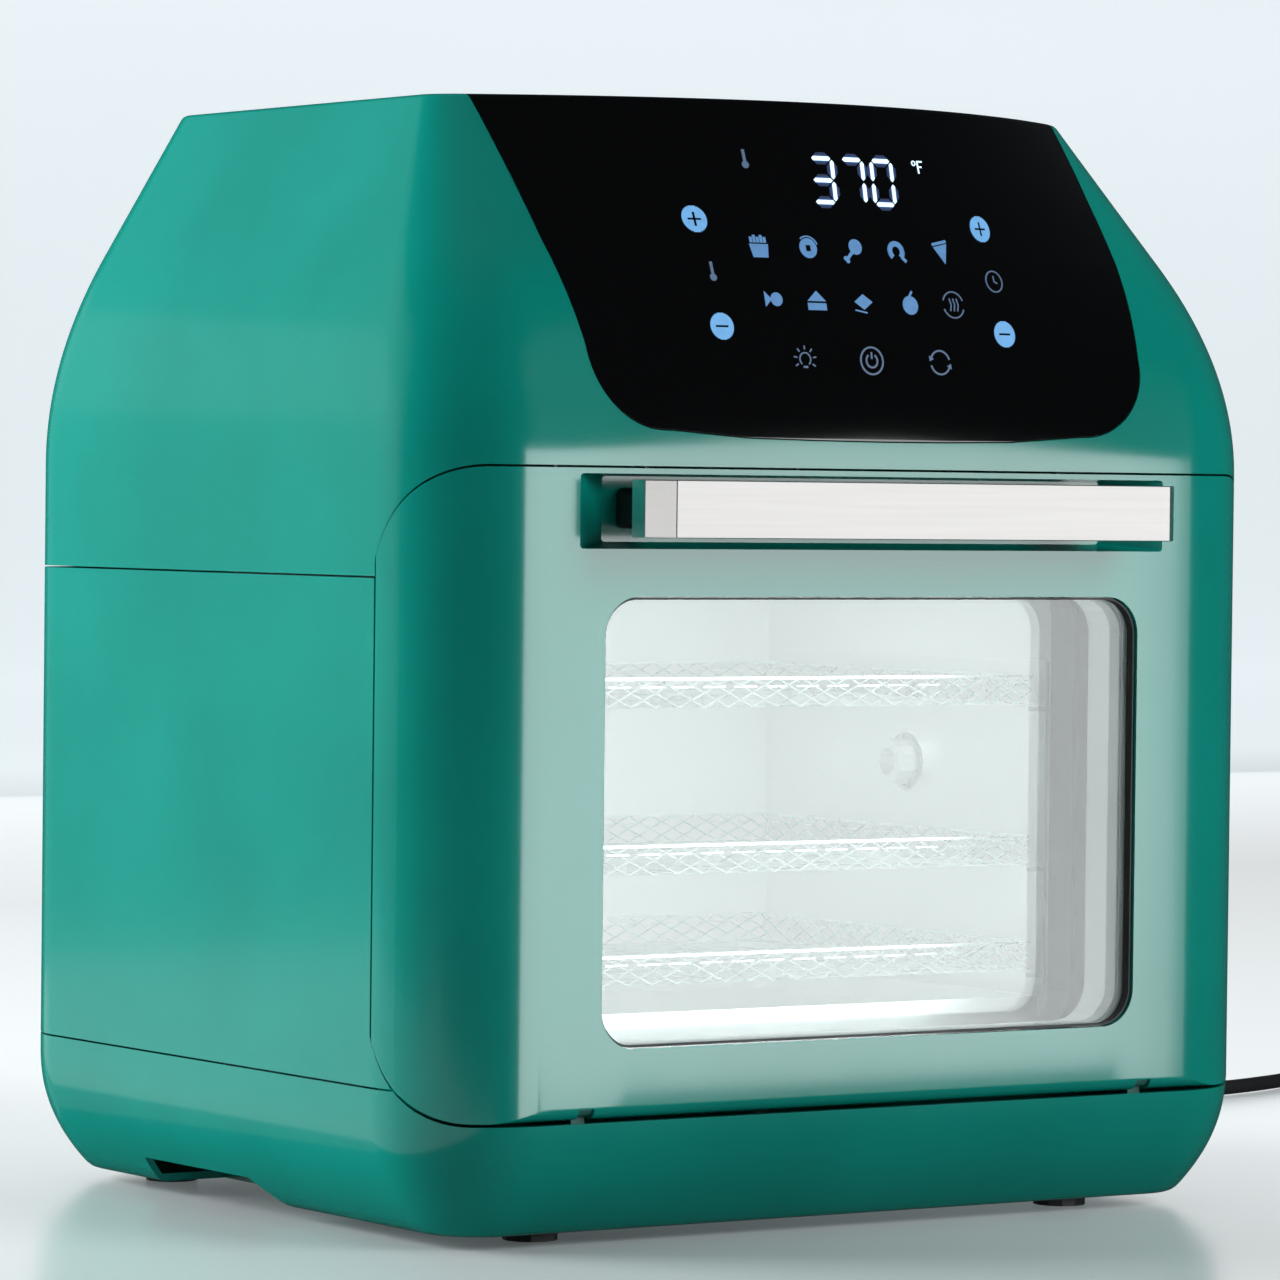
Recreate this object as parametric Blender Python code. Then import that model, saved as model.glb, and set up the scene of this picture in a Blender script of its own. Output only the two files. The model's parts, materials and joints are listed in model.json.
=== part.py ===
"""Countertop air-fryer oven with a drop-down glass door, three racks and a mains lead.

Frame: origin on the table under the middle of the oven, between the handle's front and the
rear face.  +X runs to the oven's right, +Y from the door to the rear, +Z up.  Metres.
The lengths below are measured back from the door's front face; the last step of build()
moves the whole oven forward by MIDDLE_Y to put the origin in the middle.
"""
import math

import bmesh
import bpy
from mathutils import Matrix, Vector

# ---------------------------------------------------------------- driving dimensions
WIDTH = 0.320
DEPTH = 0.270
HEIGHT = 0.352
FACE_CORNER = 0.038      # front corner radius, seen from above
REAR_CORNER = 0.029
WALL = 0.0026            # moulded plastic wall
GAP = 0.0003             # clearance between pieces that rest on each other
PANEL_THICKNESS = 0.0030

DOOR_BOTTOM = 0.0400
DOOR_TOP = 0.2369
DOOR_BACK = 0.0374       # rear face of the closed door
DOOR_RADIUS_TOP = 0.042       # the door's corners, measured along the face round the oven's corner
DOOR_RADIUS_BOTTOM = 0.038
SEAM_TOP = 0.0007        # seam between the door and the hood
SEAM_BOTTOM = 0.0010     # seam between the door and the base
PANEL_SEAM = 0.0006      # seam above and below the side and rear panels
BODY_FRONT = 0.0380      # plane just behind the door

BASE_BOTTOM = 0.0040
BASE_TOP = 0.0487
HOOD_BOTTOM = 0.2035
TAPER_START = 0.2372     # height where the hood begins to lean in
TAPER_ARC = 0.068        # height over which the lean grows
TUCK_START = 0.0444      # height below which the base tucks in
TUCK_POWER = 2.25

HINGE_Y = 0.0040         # door hinge axis, along X
HINGE_Z = 0.0440
HINGE_EYE = 0.0031
HINGE_PIN = 0.0015
HINGE_BORE = 0.0018
HINGE_LUG = (0.1039, 0.1087)
HINGE_SKIN = 0.0006      # of the door's face left in front of each hinge

WINDOW_HALF = 0.1015
WINDOW_LOW = 0.0610
WINDOW_HIGH = 0.1980
WINDOW_RADIUS = 0.012

HANDLE_HALF = 0.1005
HANDLE_LOW = 0.2160
HANDLE_HIGH = 0.2334
HANDLE_FRONT = -0.0260
HANDLE_BACK = -0.0120
HANDLE_CHAMFER = 0.0070
RECESS_DEPTH = 0.0130
MIDDLE_Y = (HANDLE_FRONT + DEPTH) / 2

OPENING_HALF = 0.1030    # front opening of the cooking space
OPENING_LOW = 0.0570
OPENING_HIGH = 0.2020
CAVITY_HALF = 0.1065
CAVITY_FRONT = 0.0503
CAVITY_BACK = 0.2173
CAVITY_LOW = 0.0570
CAVITY_HIGH = 0.2040
SHEET = 0.0012           # sheet-metal thickness

FAN_Y = 0.1330           # vertical axis of the fans, over the middle of the cooking space
DRIVE_Y = 0.1330         # rotisserie drive axis, along X
DRIVE_Z = 0.1400

LAMP = (-0.0600, 0.1860)
SENSOR = (-0.0880, 0.1950)

RACK_TOPS = {"cooking_rack_top": 0.1715, "cooking_rack_middle": 0.1190, "cooking_rack_bottom": 0.0844}
RACK_HALF = 0.1020
RACK_FRONT = 0.0580
RACK_BACK = 0.2135
RACK_DEEP = 0.0100

CORD_DIAMETER = 0.0055
CORD_EXIT = (0.1050, 0.2965, 0.0240)
COIL_CENTRE = (0.4690, 0.2990)
COIL_INNER = 0.0242
COIL_OUTER = 0.0386
COIL_HIGH = 0.0120
COIL_ENTRY_RADIUS = 0.0330
COIL_EXIT_RADIUS = 0.0357
COIL_ENTRY_ANGLE = math.radians(111)
# the free route from the strain relief towards the coil, on the table from the seventh point
CORD_ROUTE = (
    (0.1050, 0.2965, 0.0240),
    (0.1050, 0.3090, 0.0236),
    (0.1055, 0.3220, 0.0203),
    (0.1080, 0.3350, 0.0138),
    (0.1145, 0.3465, 0.0076),
    (0.1265, 0.3550, 0.0042),
    (0.1430, 0.3588, 0.0031),
    (0.1650, 0.3575, 0.0031),
    (0.1950, 0.3490, 0.0031),
    (0.2300, 0.3350, 0.0031),
    (0.2650, 0.3205, 0.0031),
    (0.3000, 0.3083, 0.0031),
    (0.3350, 0.3005, 0.0031),
    (0.3620, 0.2984, 0.0031),
    (0.3850, 0.3004, 0.0031),
    (0.4160, 0.3110, 0.0031),
)

# materials: colour, roughness, metallic, alpha
FINISHES = {
    "green_plastic": ((0.005, 0.190, 0.150, 1.0), 0.22, 0.0),
    "black_gloss": ((0.006, 0.006, 0.007, 1.0), 0.08, 0.0),
    "black_plastic": ((0.020, 0.020, 0.022, 1.0), 0.50, 0.0),
    "rubber": ((0.015, 0.015, 0.015, 1.0), 0.80, 0.0),
    "silicone": ((0.060, 0.060, 0.065, 1.0), 0.70, 0.0),
    "satin_aluminium": ((0.780, 0.780, 0.780, 1.0), 0.30, 1.0),
    "stainless": ((0.620, 0.630, 0.640, 1.0), 0.32, 1.0),
    "enamel_grey": ((0.520, 0.540, 0.550, 1.0), 0.45, 0.0),
    "glass": ((0.900, 0.950, 0.950, 0.30), 0.03, 0.0),
    "heater_steel": ((0.120, 0.100, 0.090, 1.0), 0.55, 1.0),
    "board_green": ((0.010, 0.120, 0.040, 1.0), 0.45, 0.0),
    "ceramic_white": ((0.850, 0.850, 0.820, 1.0), 0.40, 0.0),
    "copper": ((0.700, 0.330, 0.160, 1.0), 0.35, 1.0),
}


# ---------------------------------------------------------------- scene helpers
def clear_scene():
    for obj in list(bpy.data.objects):
        bpy.data.objects.remove(obj, do_unlink=True)


def finish(name):
    """The named material, made once."""
    found = bpy.data.materials.get(name)
    if found:
        return found
    colour, roughness, metallic = FINISHES[name]
    made = bpy.data.materials.new(name)
    made.use_nodes = True
    shader = made.node_tree.nodes["Principled BSDF"]
    shader.inputs["Base Color"].default_value = colour[:3] + (1.0,)
    shader.inputs["Alpha"].default_value = colour[3]
    shader.inputs["Roughness"].default_value = roughness
    shader.inputs["Metallic"].default_value = metallic
    made.diffuse_color = colour
    return made


def mesh_object(name, bm, material=None, smooth=True, parent=None):
    """A new object from a bmesh whose faces are turned outward."""
    bmesh.ops.remove_doubles(bm, verts=bm.verts, dist=1e-7)
    bmesh.ops.recalc_face_normals(bm, faces=bm.faces)
    mesh = bpy.data.meshes.new(name)
    bm.to_mesh(mesh)
    bm.free()
    if smooth:
        mesh.shade_smooth()
        mesh.set_sharp_from_angle(angle=math.radians(35))
    obj = bpy.data.objects.new(name, mesh)
    bpy.context.scene.collection.objects.link(obj)
    if material:
        mesh.materials.append(finish(material))
    if parent:
        obj.parent = parent
        obj.matrix_parent_inverse = Matrix.Translation(-parent.location)
    return obj


def combine(obj, bm, operation):
    """Cut, keep or join a hidden guide solid with a Boolean modifier."""
    guide = mesh_object(f"{obj.name}_guide", bm, smooth=False)
    guide.hide_render = True
    guide.display_type = "WIRE"
    modifier = obj.modifiers.new(operation.lower(), "BOOLEAN")
    modifier.operation = operation
    modifier.solver = "EXACT"
    modifier.object = guide


def axis_empty(name, location):
    empty = bpy.data.objects.new(name, None)
    empty.location = location
    bpy.context.scene.collection.objects.link(empty)
    return empty


# ---------------------------------------------------------------- shape helpers
def add_box(bm, low, high):
    middle = [(a + b) / 2 for a, b in zip(low, high)]
    size = [b - a for a, b in zip(low, high)]
    matrix = Matrix.Translation(middle) @ Matrix.Diagonal((*size, 1.0))
    bmesh.ops.create_cube(bm, size=1.0, matrix=matrix)


def on_axis(axis, u, v, along):
    """A point from two outline coordinates and one along the axis."""
    if axis == "X":
        return (along, u, v)
    if axis == "Y":
        return (u, along, v)
    return (u, v, along)


def add_loft(bm, rings):
    """A closed solid through rings of matching points, capped at both ends."""
    rows = [[bm.verts.new(point) for point in ring] for ring in rings]
    count = len(rows[0])
    for lower, upper in zip(rows, rows[1:]):
        for i in range(count):
            j = (i + 1) % count
            bm.faces.new((lower[i], lower[j], upper[j], upper[i]))
    bm.faces.new(list(reversed(rows[0])))
    bm.faces.new(rows[-1])


def add_prism(bm, outline, axis, start, end):
    """An outline pushed straight along X, Y or Z."""
    rings = [[on_axis(axis, u, v, along) for u, v in outline] for along in (start, end)]
    add_loft(bm, rings)


def circle(centre, radius, steps=16):
    turns = (2 * math.pi * i / steps for i in range(steps))
    return [(centre[0] + radius * math.cos(a), centre[1] + radius * math.sin(a)) for a in turns]


def quarter(centre, radius, start_deg, steps=5):
    """Points of a quarter circle, anticlockwise from a start angle."""
    angles = (math.radians(start_deg + 90 * i / steps) for i in range(steps + 1))
    return [(centre[0] + radius * math.cos(a), centre[1] + radius * math.sin(a)) for a in angles]


def rounded(half, low, high, radius_low, radius_high=None, steps=5):
    """Outline of a rounded rectangle centred on u = 0, anticlockwise."""
    top = radius_low if radius_high is None else radius_high
    return (
        quarter((half - radius_low, low + radius_low), radius_low, -90, steps)
        + quarter((half - top, high - top), top, 0, steps)
        + quarter((top - half, high - top), top, 90, steps)
        + quarter((radius_low - half, low + radius_low), radius_low, 180, steps)
    )


def add_turned(bm, profile, centre, axis="Z", steps=24):
    """A closed ring solid from a profile of (radius, along) points that stays off the axis."""
    rows = []
    for radius, along in profile:
        points = circle(centre, radius, steps)
        rows.append([bm.verts.new(on_axis(axis, u, v, along)) for u, v in points])
    for lower, upper in zip(rows, rows[1:] + rows[:1]):
        for i in range(steps):
            j = (i + 1) % steps
            bm.faces.new((lower[i], lower[j], upper[j], upper[i]))


# ---------------------------------------------------------------- the oven's outer form
FRONT_STEPS = 4
CORNER_STEPS = 7
REAR_STEPS = 4


def mix(a, b, share):
    return [(p[0] + (q[0] - p[0]) * share, p[1] + (q[1] - p[1]) * share) for p, q in zip(a, b)]


def rear_corner(half, rear, radius):
    steps = REAR_STEPS
    angles = [math.pi / 2 * i / steps for i in range(steps + 1)]
    middle = (half - radius, rear - radius)
    return [(middle[0] + radius * math.cos(a), middle[1] + radius * math.sin(a)) for a in angles]


def flat_plan(half, front, rear, radius, rear_radius):
    """Half of a plan section with a flat front and a round front corner."""
    straight = [((half - radius) * i / FRONT_STEPS, front) for i in range(FRONT_STEPS + 1)]
    angles = [math.pi / 2 * i / CORNER_STEPS for i in range(1, CORNER_STEPS + 1)]
    corner = [
        (half - radius + radius * math.sin(a), front + radius - radius * math.cos(a))
        for a in angles
    ]
    return straight + corner + rear_corner(half, rear, rear_radius)


def bowed_plan(half, front, rear, bow_half, bow, side_start, rear_radius):
    """Half of a plan section whose front bows forward in the middle."""
    shares = [i / FRONT_STEPS for i in range(FRONT_STEPS + 1)]
    front_line = [(bow_half * s, front + bow * s * s) for s in shares]
    slope = 2 * bow / bow_half
    p0 = Vector(front_line[-1])
    p1 = Vector((half, front + bow + slope * (half - bow_half)))
    p2 = Vector((half, side_start))
    corner = []
    for i in range(1, CORNER_STEPS + 1):
        t = i / CORNER_STEPS
        corner.append(tuple(p0 * (1 - t) ** 2 + p1 * 2 * t * (1 - t) + p2 * t * t))
    return front_line + corner + rear_corner(half, rear, rear_radius)


def lean(z):
    """How far the hood has leaned in at a height, from 0 to 1."""
    rise = z - TAPER_START
    if rise <= 0:
        return 0.0
    slope = 1 / (HEIGHT - TAPER_START - TAPER_ARC / 2)
    if rise < TAPER_ARC:
        return slope * rise * rise / (2 * TAPER_ARC)
    return slope * (rise - TAPER_ARC / 2)


def plan(z, inset=0.0):
    """The whole plan section at a height, moved inward by a wall thickness."""
    side = flat_plan(WIDTH / 2 - inset, inset, DEPTH - inset, FACE_CORNER - inset, REAR_CORNER - inset)
    half = side
    if z > TAPER_START:
        top = bowed_plan(
            0.1215 - inset, 0.0260 + inset, 0.2400 - inset, 0.1110 - inset,
            0.0370, 0.0780, 0.0180 - inset,
        )
        half = mix(side, top, lean(z))
    elif z < TUCK_START:
        foot = flat_plan(0.1420 - inset, 0.0170 + inset, 0.2630 - inset, 0.0190 - inset, 0.0230 - inset)
        share = ((TUCK_START - z) / (TUCK_START - BASE_BOTTOM)) ** TUCK_POWER
        half = mix(side, foot, share)
    mirrored = [(-x, y) for x, y in reversed(half) if x > 1e-9]
    return half + mirrored


def body_loft(levels, inset=0.0):
    bm = bmesh.new()
    add_loft(bm, [[(x, y, z) for x, y in plan(z, inset)] for z in levels])
    return bm


def steps_between(low, high, count):
    return [low + (high - low) * i / count for i in range(count + 1)]


HOOD_LEVELS = [HOOD_BOTTOM] + steps_between(TAPER_START, TAPER_START + TAPER_ARC, 5) + [HEIGHT]


def face_depth(x):
    """How far back the oven's front face is at a place across it."""
    across = min(abs(x) - (WIDTH / 2 - FACE_CORNER), FACE_CORNER)
    if across <= 0:
        return 0.0
    return FACE_CORNER - math.sqrt(FACE_CORNER ** 2 - across ** 2)


def unwrapped_half():
    """Half the width of the front face, measured along the surface round its corner."""
    return WIDTH / 2 - FACE_CORNER + FACE_CORNER * math.pi / 2


def wrapped(along):
    """The X of a point that lies a given way along the front face and round its corner."""
    turn = (abs(along) - (WIDTH / 2 - FACE_CORNER)) / FACE_CORNER
    if turn <= 0:
        return along
    x = WIDTH / 2 - FACE_CORNER + FACE_CORNER * math.sin(min(turn, math.pi / 2))
    return math.copysign(x + max(abs(along) - unwrapped_half(), 0.0), along)


def door_outline(grow):
    """The door's outline in X and Z, grown by a seam; its sides lie outside the oven's sides.

    It is drawn on the flattened face and then wrapped, so the round corners and the seam keep
    their shape on the curved surface.
    """
    flat = rounded(
        unwrapped_half() + 0.001 + grow,
        DOOR_BOTTOM - grow, DOOR_TOP + grow,
        DOOR_RADIUS_BOTTOM + grow, DOOR_RADIUS_TOP + grow,
        steps=10,
    )
    return [(wrapped(along), z) for along, z in flat]


def panel_outline(grow=0.0):
    """The control panel's outline in X and Z, open to the top edge of the hood."""
    right = [
        (0.0, 0.2462 - grow),
        (0.0500, 0.2468 - grow),
        (0.0780, 0.2488 - grow),
    ]
    corner_middle = (0.0800, 0.2740)
    for i in range(1, 7):
        angle = math.radians(-90 + 15 * i)
        reach = 0.0252 + grow
        right.append((corner_middle[0] + reach * math.cos(angle), corner_middle[1] + reach * math.sin(angle)))
    right.append((0.1095 + grow, 0.3060))
    right.append((0.1125 + grow, HEIGHT + 0.004))
    left = [(-x, z) for x, z in reversed(right) if x > 1e-9]
    return right + left


# ---------------------------------------------------------------- outer shells
def make_base():
    bm = body_loft(steps_between(BASE_BOTTOM, TUCK_START, 5) + [BASE_TOP])
    base = mesh_object("base_shell", bm, "green_plastic")
    inner_levels = steps_between(BASE_BOTTOM + WALL, TUCK_START, 4) + [BASE_TOP + 0.01]
    combine(base, body_loft(inner_levels, WALL), "DIFFERENCE")
    cuts = bmesh.new()
    add_prism(cuts, door_outline(SEAM_BOTTOM), "Y", -0.02, BODY_FRONT)
    notch_low = BASE_BOTTOM - 0.004
    notch_high = 0.0125
    notch = [
        (0.1100, notch_low), (0.2000, notch_low), (0.1960, notch_high),
        (0.1290, notch_high), (0.1160, BASE_BOTTOM),
    ]
    add_prism(cuts, notch, "X", -0.165, -0.118)
    add_prism(cuts, notch, "X", 0.118, 0.165)
    add_prism(cuts, circle((CORD_EXIT[0], CORD_EXIT[2]), 0.0070), "Y", 0.245, 0.285)
    combine(base, cuts, "DIFFERENCE")


def make_hood():
    hood = mesh_object("hood_shell", body_loft(HOOD_LEVELS), "green_plastic")
    inner_levels = [HOOD_BOTTOM - 0.01] + HOOD_LEVELS[1:] + [HEIGHT + 0.01]
    combine(hood, body_loft(inner_levels, WALL), "DIFFERENCE")
    cuts = bmesh.new()
    add_prism(cuts, door_outline(SEAM_TOP), "Y", -0.02, BODY_FRONT)
    add_prism(cuts, panel_outline(grow=0.0004), "Y", -0.02, 0.0705)
    combine(hood, cuts, "DIFFERENCE")


def make_control_panel():
    levels = [0.2400] + HOOD_LEVELS[2:]
    panel = mesh_object("control_panel", body_loft(levels), "black_gloss")
    inner = [0.2390] + HOOD_LEVELS[2:] + [HEIGHT + 0.01]
    combine(panel, body_loft(inner, PANEL_THICKNESS), "DIFFERENCE")
    keep = bmesh.new()
    add_prism(keep, panel_outline(), "Y", -0.02, 0.0700)
    combine(panel, keep, "INTERSECT")


def make_side_panel(name, side):
    """A side wall that wraps round the rear corner to the rear cover.

    At its lower front it also fills the corner that the door's round outline leaves open.
    """
    stop, first = 0.1006, FRONT_STEPS + 5
    outer = flat_plan(WIDTH / 2, 0.0, DEPTH, FACE_CORNER, REAR_CORNER)[first:] + [(stop, DEPTH)]
    inner = flat_plan(WIDTH / 2 - WALL, WALL, DEPTH - WALL, FACE_CORNER - WALL, REAR_CORNER - WALL)[first:]
    inner += [(stop, DEPTH - WALL)]
    outline = [(side * x, y) for x, y in outer + inner[::-1]]
    bm = bmesh.new()
    add_prism(bm, outline, "Z", BASE_TOP + PANEL_SEAM, HOOD_BOTTOM - PANEL_SEAM)
    panel = mesh_object(name, bm, "green_plastic")
    door = bmesh.new()
    add_prism(door, door_outline(SEAM_BOTTOM), "Y", -0.02, BODY_FRONT + GAP)
    combine(panel, door, "DIFFERENCE")


def make_rear_cover():
    bm = bmesh.new()
    add_box(bm, (-0.1000, DEPTH - WALL, BASE_TOP + PANEL_SEAM), (0.1000, DEPTH, HOOD_BOTTOM - PANEL_SEAM))
    cover = mesh_object("rear_cover", bm, "green_plastic", smooth=False)
    slots = bmesh.new()
    for row in range(6):
        low = 0.1180 + 0.0095 * row
        for left, right in ((-0.0850, -0.0150), (0.0150, 0.0850)):
            add_box(slots, (left, DEPTH - 0.01, low), (right, DEPTH + 0.01, low + 0.0042))
    combine(cover, slots, "DIFFERENCE")


def make_top_cover():
    """A plate inside the rim of the hood and behind the top edge of the control panel."""
    low, high = HEIGHT - 0.0030, HEIGHT - 0.0006
    bm = bmesh.new()
    ring = plan(HEIGHT, PANEL_THICKNESS + GAP + 0.0001)
    add_loft(bm, [[(x, y, z) for x, y in ring] for z in (low, high)])
    cover = mesh_object("top_cover", bm, "green_plastic", smooth=False)
    slots = bmesh.new()
    for row in range(7):
        front = 0.1450 + 0.0100 * row
        add_box(slots, (-0.0600, front, low - 0.01), (0.0600, front + 0.0045, high + 0.01))
    combine(cover, slots, "DIFFERENCE")


def make_feet():
    for name, x, y in (
        ("foot_front_left", -0.1020, 0.0380),
        ("foot_front_right", 0.1020, 0.0380),
        ("foot_rear_left", -0.1180, 0.2340),
        ("foot_rear_right", 0.1180, 0.2340),
    ):
        bm = bmesh.new()
        add_prism(bm, circle((x, y), 0.0085, 12), "Z", 0.0, BASE_BOTTOM - GAP)
        mesh_object(name, bm, "rubber")


# ---------------------------------------------------------------- frame and cooking space
def make_front_frame():
    """The steel face behind the door, with the flange that holds the cooking space."""
    bm = bmesh.new()
    add_prism(bm, rounded(0.1555, 0.0435, 0.2335, 0.030), "Y", BODY_FRONT, BODY_FRONT + 0.0020)
    frame = mesh_object("front_frame", bm, "black_plastic")
    flange = bmesh.new()
    outline = rounded(OPENING_HALF + 0.0015, OPENING_LOW - 0.0015, OPENING_HIGH + 0.0015, 0.0135)
    add_prism(flange, outline, "Y", BODY_FRONT + 0.0010, CAVITY_FRONT - GAP)
    combine(frame, flange, "UNION")
    cuts = bmesh.new()
    add_prism(cuts, rounded(OPENING_HALF, OPENING_LOW, OPENING_HIGH, 0.012), "Y", 0.02, 0.07)
    add_box(cuts, (-0.0115, 0.02, 0.2145), (0.0115, 0.07, 0.2275))
    add_prism(cuts, circle((0.0680, 0.2220), 0.0026, 12), "Y", 0.02, 0.07)
    combine(frame, cuts, "DIFFERENCE")


def make_cavity():
    """The lined cooking space: a folded floor with two sides, a back and a ceiling."""
    side, floor, seam = CAVITY_HALF + SHEET, CAVITY_LOW - SHEET, 0.0002
    bm = bmesh.new()
    section = [
        (-side, floor), (side, floor), (side, CAVITY_HIGH - seam), (CAVITY_HALF, CAVITY_HIGH - seam),
        (CAVITY_HALF, CAVITY_LOW), (-CAVITY_HALF, CAVITY_LOW), (-CAVITY_HALF, CAVITY_HIGH - seam),
        (-side, CAVITY_HIGH - seam),
    ]
    add_prism(bm, section, "Y", CAVITY_FRONT, CAVITY_BACK - seam)
    cavity = mesh_object("oven_cavity", bm, "enamel_grey", smooth=False)
    hole = bmesh.new()
    add_prism(hole, circle((DRIVE_Y, DRIVE_Z), 0.0100, 12), "X", CAVITY_HALF - 0.001, CAVITY_HALF + 0.01)
    combine(cavity, hole, "DIFFERENCE")

    bm = bmesh.new()
    add_box(bm, (-side, CAVITY_BACK, floor), (side, CAVITY_BACK + SHEET, CAVITY_HIGH - seam))
    back = mesh_object("cavity_back", bm, "enamel_grey", smooth=False)
    hole = bmesh.new()
    add_prism(hole, circle(LAMP, 0.0125, 12), "Y", CAVITY_BACK - 0.001, CAVITY_BACK + 0.01)
    combine(back, hole, "DIFFERENCE")

    bm = bmesh.new()
    add_box(bm, (-side, CAVITY_FRONT, CAVITY_HIGH), (side, CAVITY_BACK + SHEET, CAVITY_HIGH + SHEET))
    ceiling = mesh_object("cavity_ceiling", bm, "enamel_grey", smooth=False)
    hole = bmesh.new()
    add_prism(hole, circle((0.0, FAN_Y), 0.0700, 24), "Z", CAVITY_HIGH - 0.001, CAVITY_HIGH + 0.01)
    combine(ceiling, hole, "DIFFERENCE")


def make_rack_support(name, side):
    """A side rail with one ledge under each rack, made as one folded profile."""
    wall, back, ledge = CAVITY_HALF - 0.0013, CAVITY_HALF - 0.0003, 0.0985
    profile = [(back, 0.0700), (back, 0.1760), (wall, 0.1760)]
    for top in sorted(RACK_TOPS.values(), reverse=True):
        shelf = top - RACK_DEEP - GAP
        profile += [(wall, shelf), (ledge, shelf), (ledge, shelf - 0.0015), (wall, shelf - 0.0015)]
    profile.append((wall, 0.0700))
    bm = bmesh.new()
    add_prism(bm, [(side * x, z) for x, z in profile], "Y", 0.0560, 0.2130)
    support = mesh_object(name, bm, "stainless", smooth=False)
    if side > 0:
        hole = bmesh.new()
        add_prism(hole, circle((DRIVE_Y, DRIVE_Z), 0.0100, 12), "X", 0.09, 0.12)
        combine(support, hole, "DIFFERENCE")


def make_rack(name, top):
    low, wall, floor = top - RACK_DEEP, 0.0015, 0.0012
    bm = bmesh.new()
    add_box(bm, (-RACK_HALF, RACK_FRONT, low), (RACK_HALF, RACK_BACK, top))
    rack = mesh_object(name, bm, "stainless", smooth=False)
    cuts = bmesh.new()
    inside = RACK_HALF - wall
    add_box(cuts, (-inside, RACK_FRONT + wall, low + floor), (inside, RACK_BACK - wall, top + 0.01))
    combine(rack, cuts, "DIFFERENCE")
    slots = bmesh.new()
    pitch = (RACK_BACK - RACK_FRONT - 0.014) / 7
    for i in range(7):
        front = RACK_FRONT + 0.0085 + pitch * i
        add_box(slots, (-0.0930, front, low - 0.01), (0.0930, front + pitch - 0.0050, low + 0.0050))
    combine(rack, slots, "DIFFERENCE")


def make_drip_tray():
    low, high, half = CAVITY_LOW + GAP, CAVITY_LOW + 0.0095, 0.1035
    bm = bmesh.new()
    add_box(bm, (-half, 0.0560, low), (half, RACK_BACK, high))
    tray = mesh_object("drip_tray", bm, "stainless", smooth=False)
    cuts = bmesh.new()
    add_box(cuts, (0.0010 - half, 0.0570, low + 0.0010), (half - 0.0010, RACK_BACK - 0.0010, high + 0.01))
    combine(tray, cuts, "DIFFERENCE")


def make_heating():
    guard_low = CAVITY_HIGH + SHEET + GAP
    guard_high = guard_low + 0.0010
    bm = bmesh.new()
    add_prism(bm, circle((0.0, FAN_Y), 0.0860, 24), "Z", guard_low, guard_high)
    guard = mesh_object("heater_guard", bm, "stainless", smooth=False)
    slots = bmesh.new()
    for i in range(-3, 4):
        reach = math.sqrt(0.0660 ** 2 - (0.0170 * i) ** 2)
        middle = FAN_Y + 0.0170 * i
        low, high = guard_low - 0.01, guard_high + 0.01
        add_box(slots, (-reach, middle - 0.0060, low), (reach, middle + 0.0060, high))
    combine(guard, slots, "DIFFERENCE")

    duct_low, duct_high, duct_radius = guard_high + GAP, 0.2350, 0.0860
    bm = bmesh.new()
    profile = [
        (duct_radius, duct_low), (duct_radius, duct_high),
        (0.0080, duct_high), (0.0080, duct_high - SHEET),
        (duct_radius - SHEET, duct_high - SHEET), (duct_radius - SHEET, duct_low),
    ]
    add_turned(bm, profile, (0.0, FAN_Y))
    mesh_object("air_duct", bm, "stainless")

    bm = bmesh.new()
    rod, middle = 0.0032, 0.0660
    angles = [2 * math.pi * i / 6 for i in range(6)]
    profile = [(middle + rod * math.cos(a), 0.2135 + rod * math.sin(a)) for a in angles]
    add_turned(bm, profile, (0.0, FAN_Y))
    mesh_object("heating_element", bm, "heater_steel")


def add_fan(bm, centre, hub, tip, low, high):
    """A hub with six radial blades grown out of every other side face."""
    points = circle(centre, hub, 12)
    start = len(bm.faces)
    add_loft(bm, [[(x, y, z) for x, y in points] for z in (low, high)])
    bm.faces.ensure_lookup_table()
    sides = list(bm.faces)[start:start + 12]
    for face in sides[::2]:
        middle = face.calc_center_median()
        outward = Vector((middle.x - centre[0], middle.y - centre[1], 0.0)).normalized()
        grown = bmesh.ops.extrude_discrete_faces(bm, faces=[face])["faces"][0]
        for vert in grown.verts:
            vert.co += outward * (tip - hub)


def make_fans(parent):
    bm = bmesh.new()
    add_prism(bm, circle((0.0, FAN_Y), 0.0028, 12), "Z", 0.2170, 0.3000)
    mesh_object("motor_shaft", bm, "stainless", parent=parent)
    for name, hub, tip, low, high, material in (
        ("circulation_fan", 0.0100, 0.0560, 0.2200, 0.2290, "stainless"),
        ("cooling_fan", 0.0090, 0.0400, 0.2880, 0.2960, "black_plastic"),
    ):
        bm = bmesh.new()
        add_fan(bm, (0.0, FAN_Y), hub, tip, low, high)
        fan = mesh_object(name, bm, material, smooth=False, parent=parent)
        bore = bmesh.new()
        add_prism(bore, circle((0.0, FAN_Y), 0.0031, 12), "Z", low - 0.01, high + 0.01)
        combine(fan, bore, "DIFFERENCE")


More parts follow.
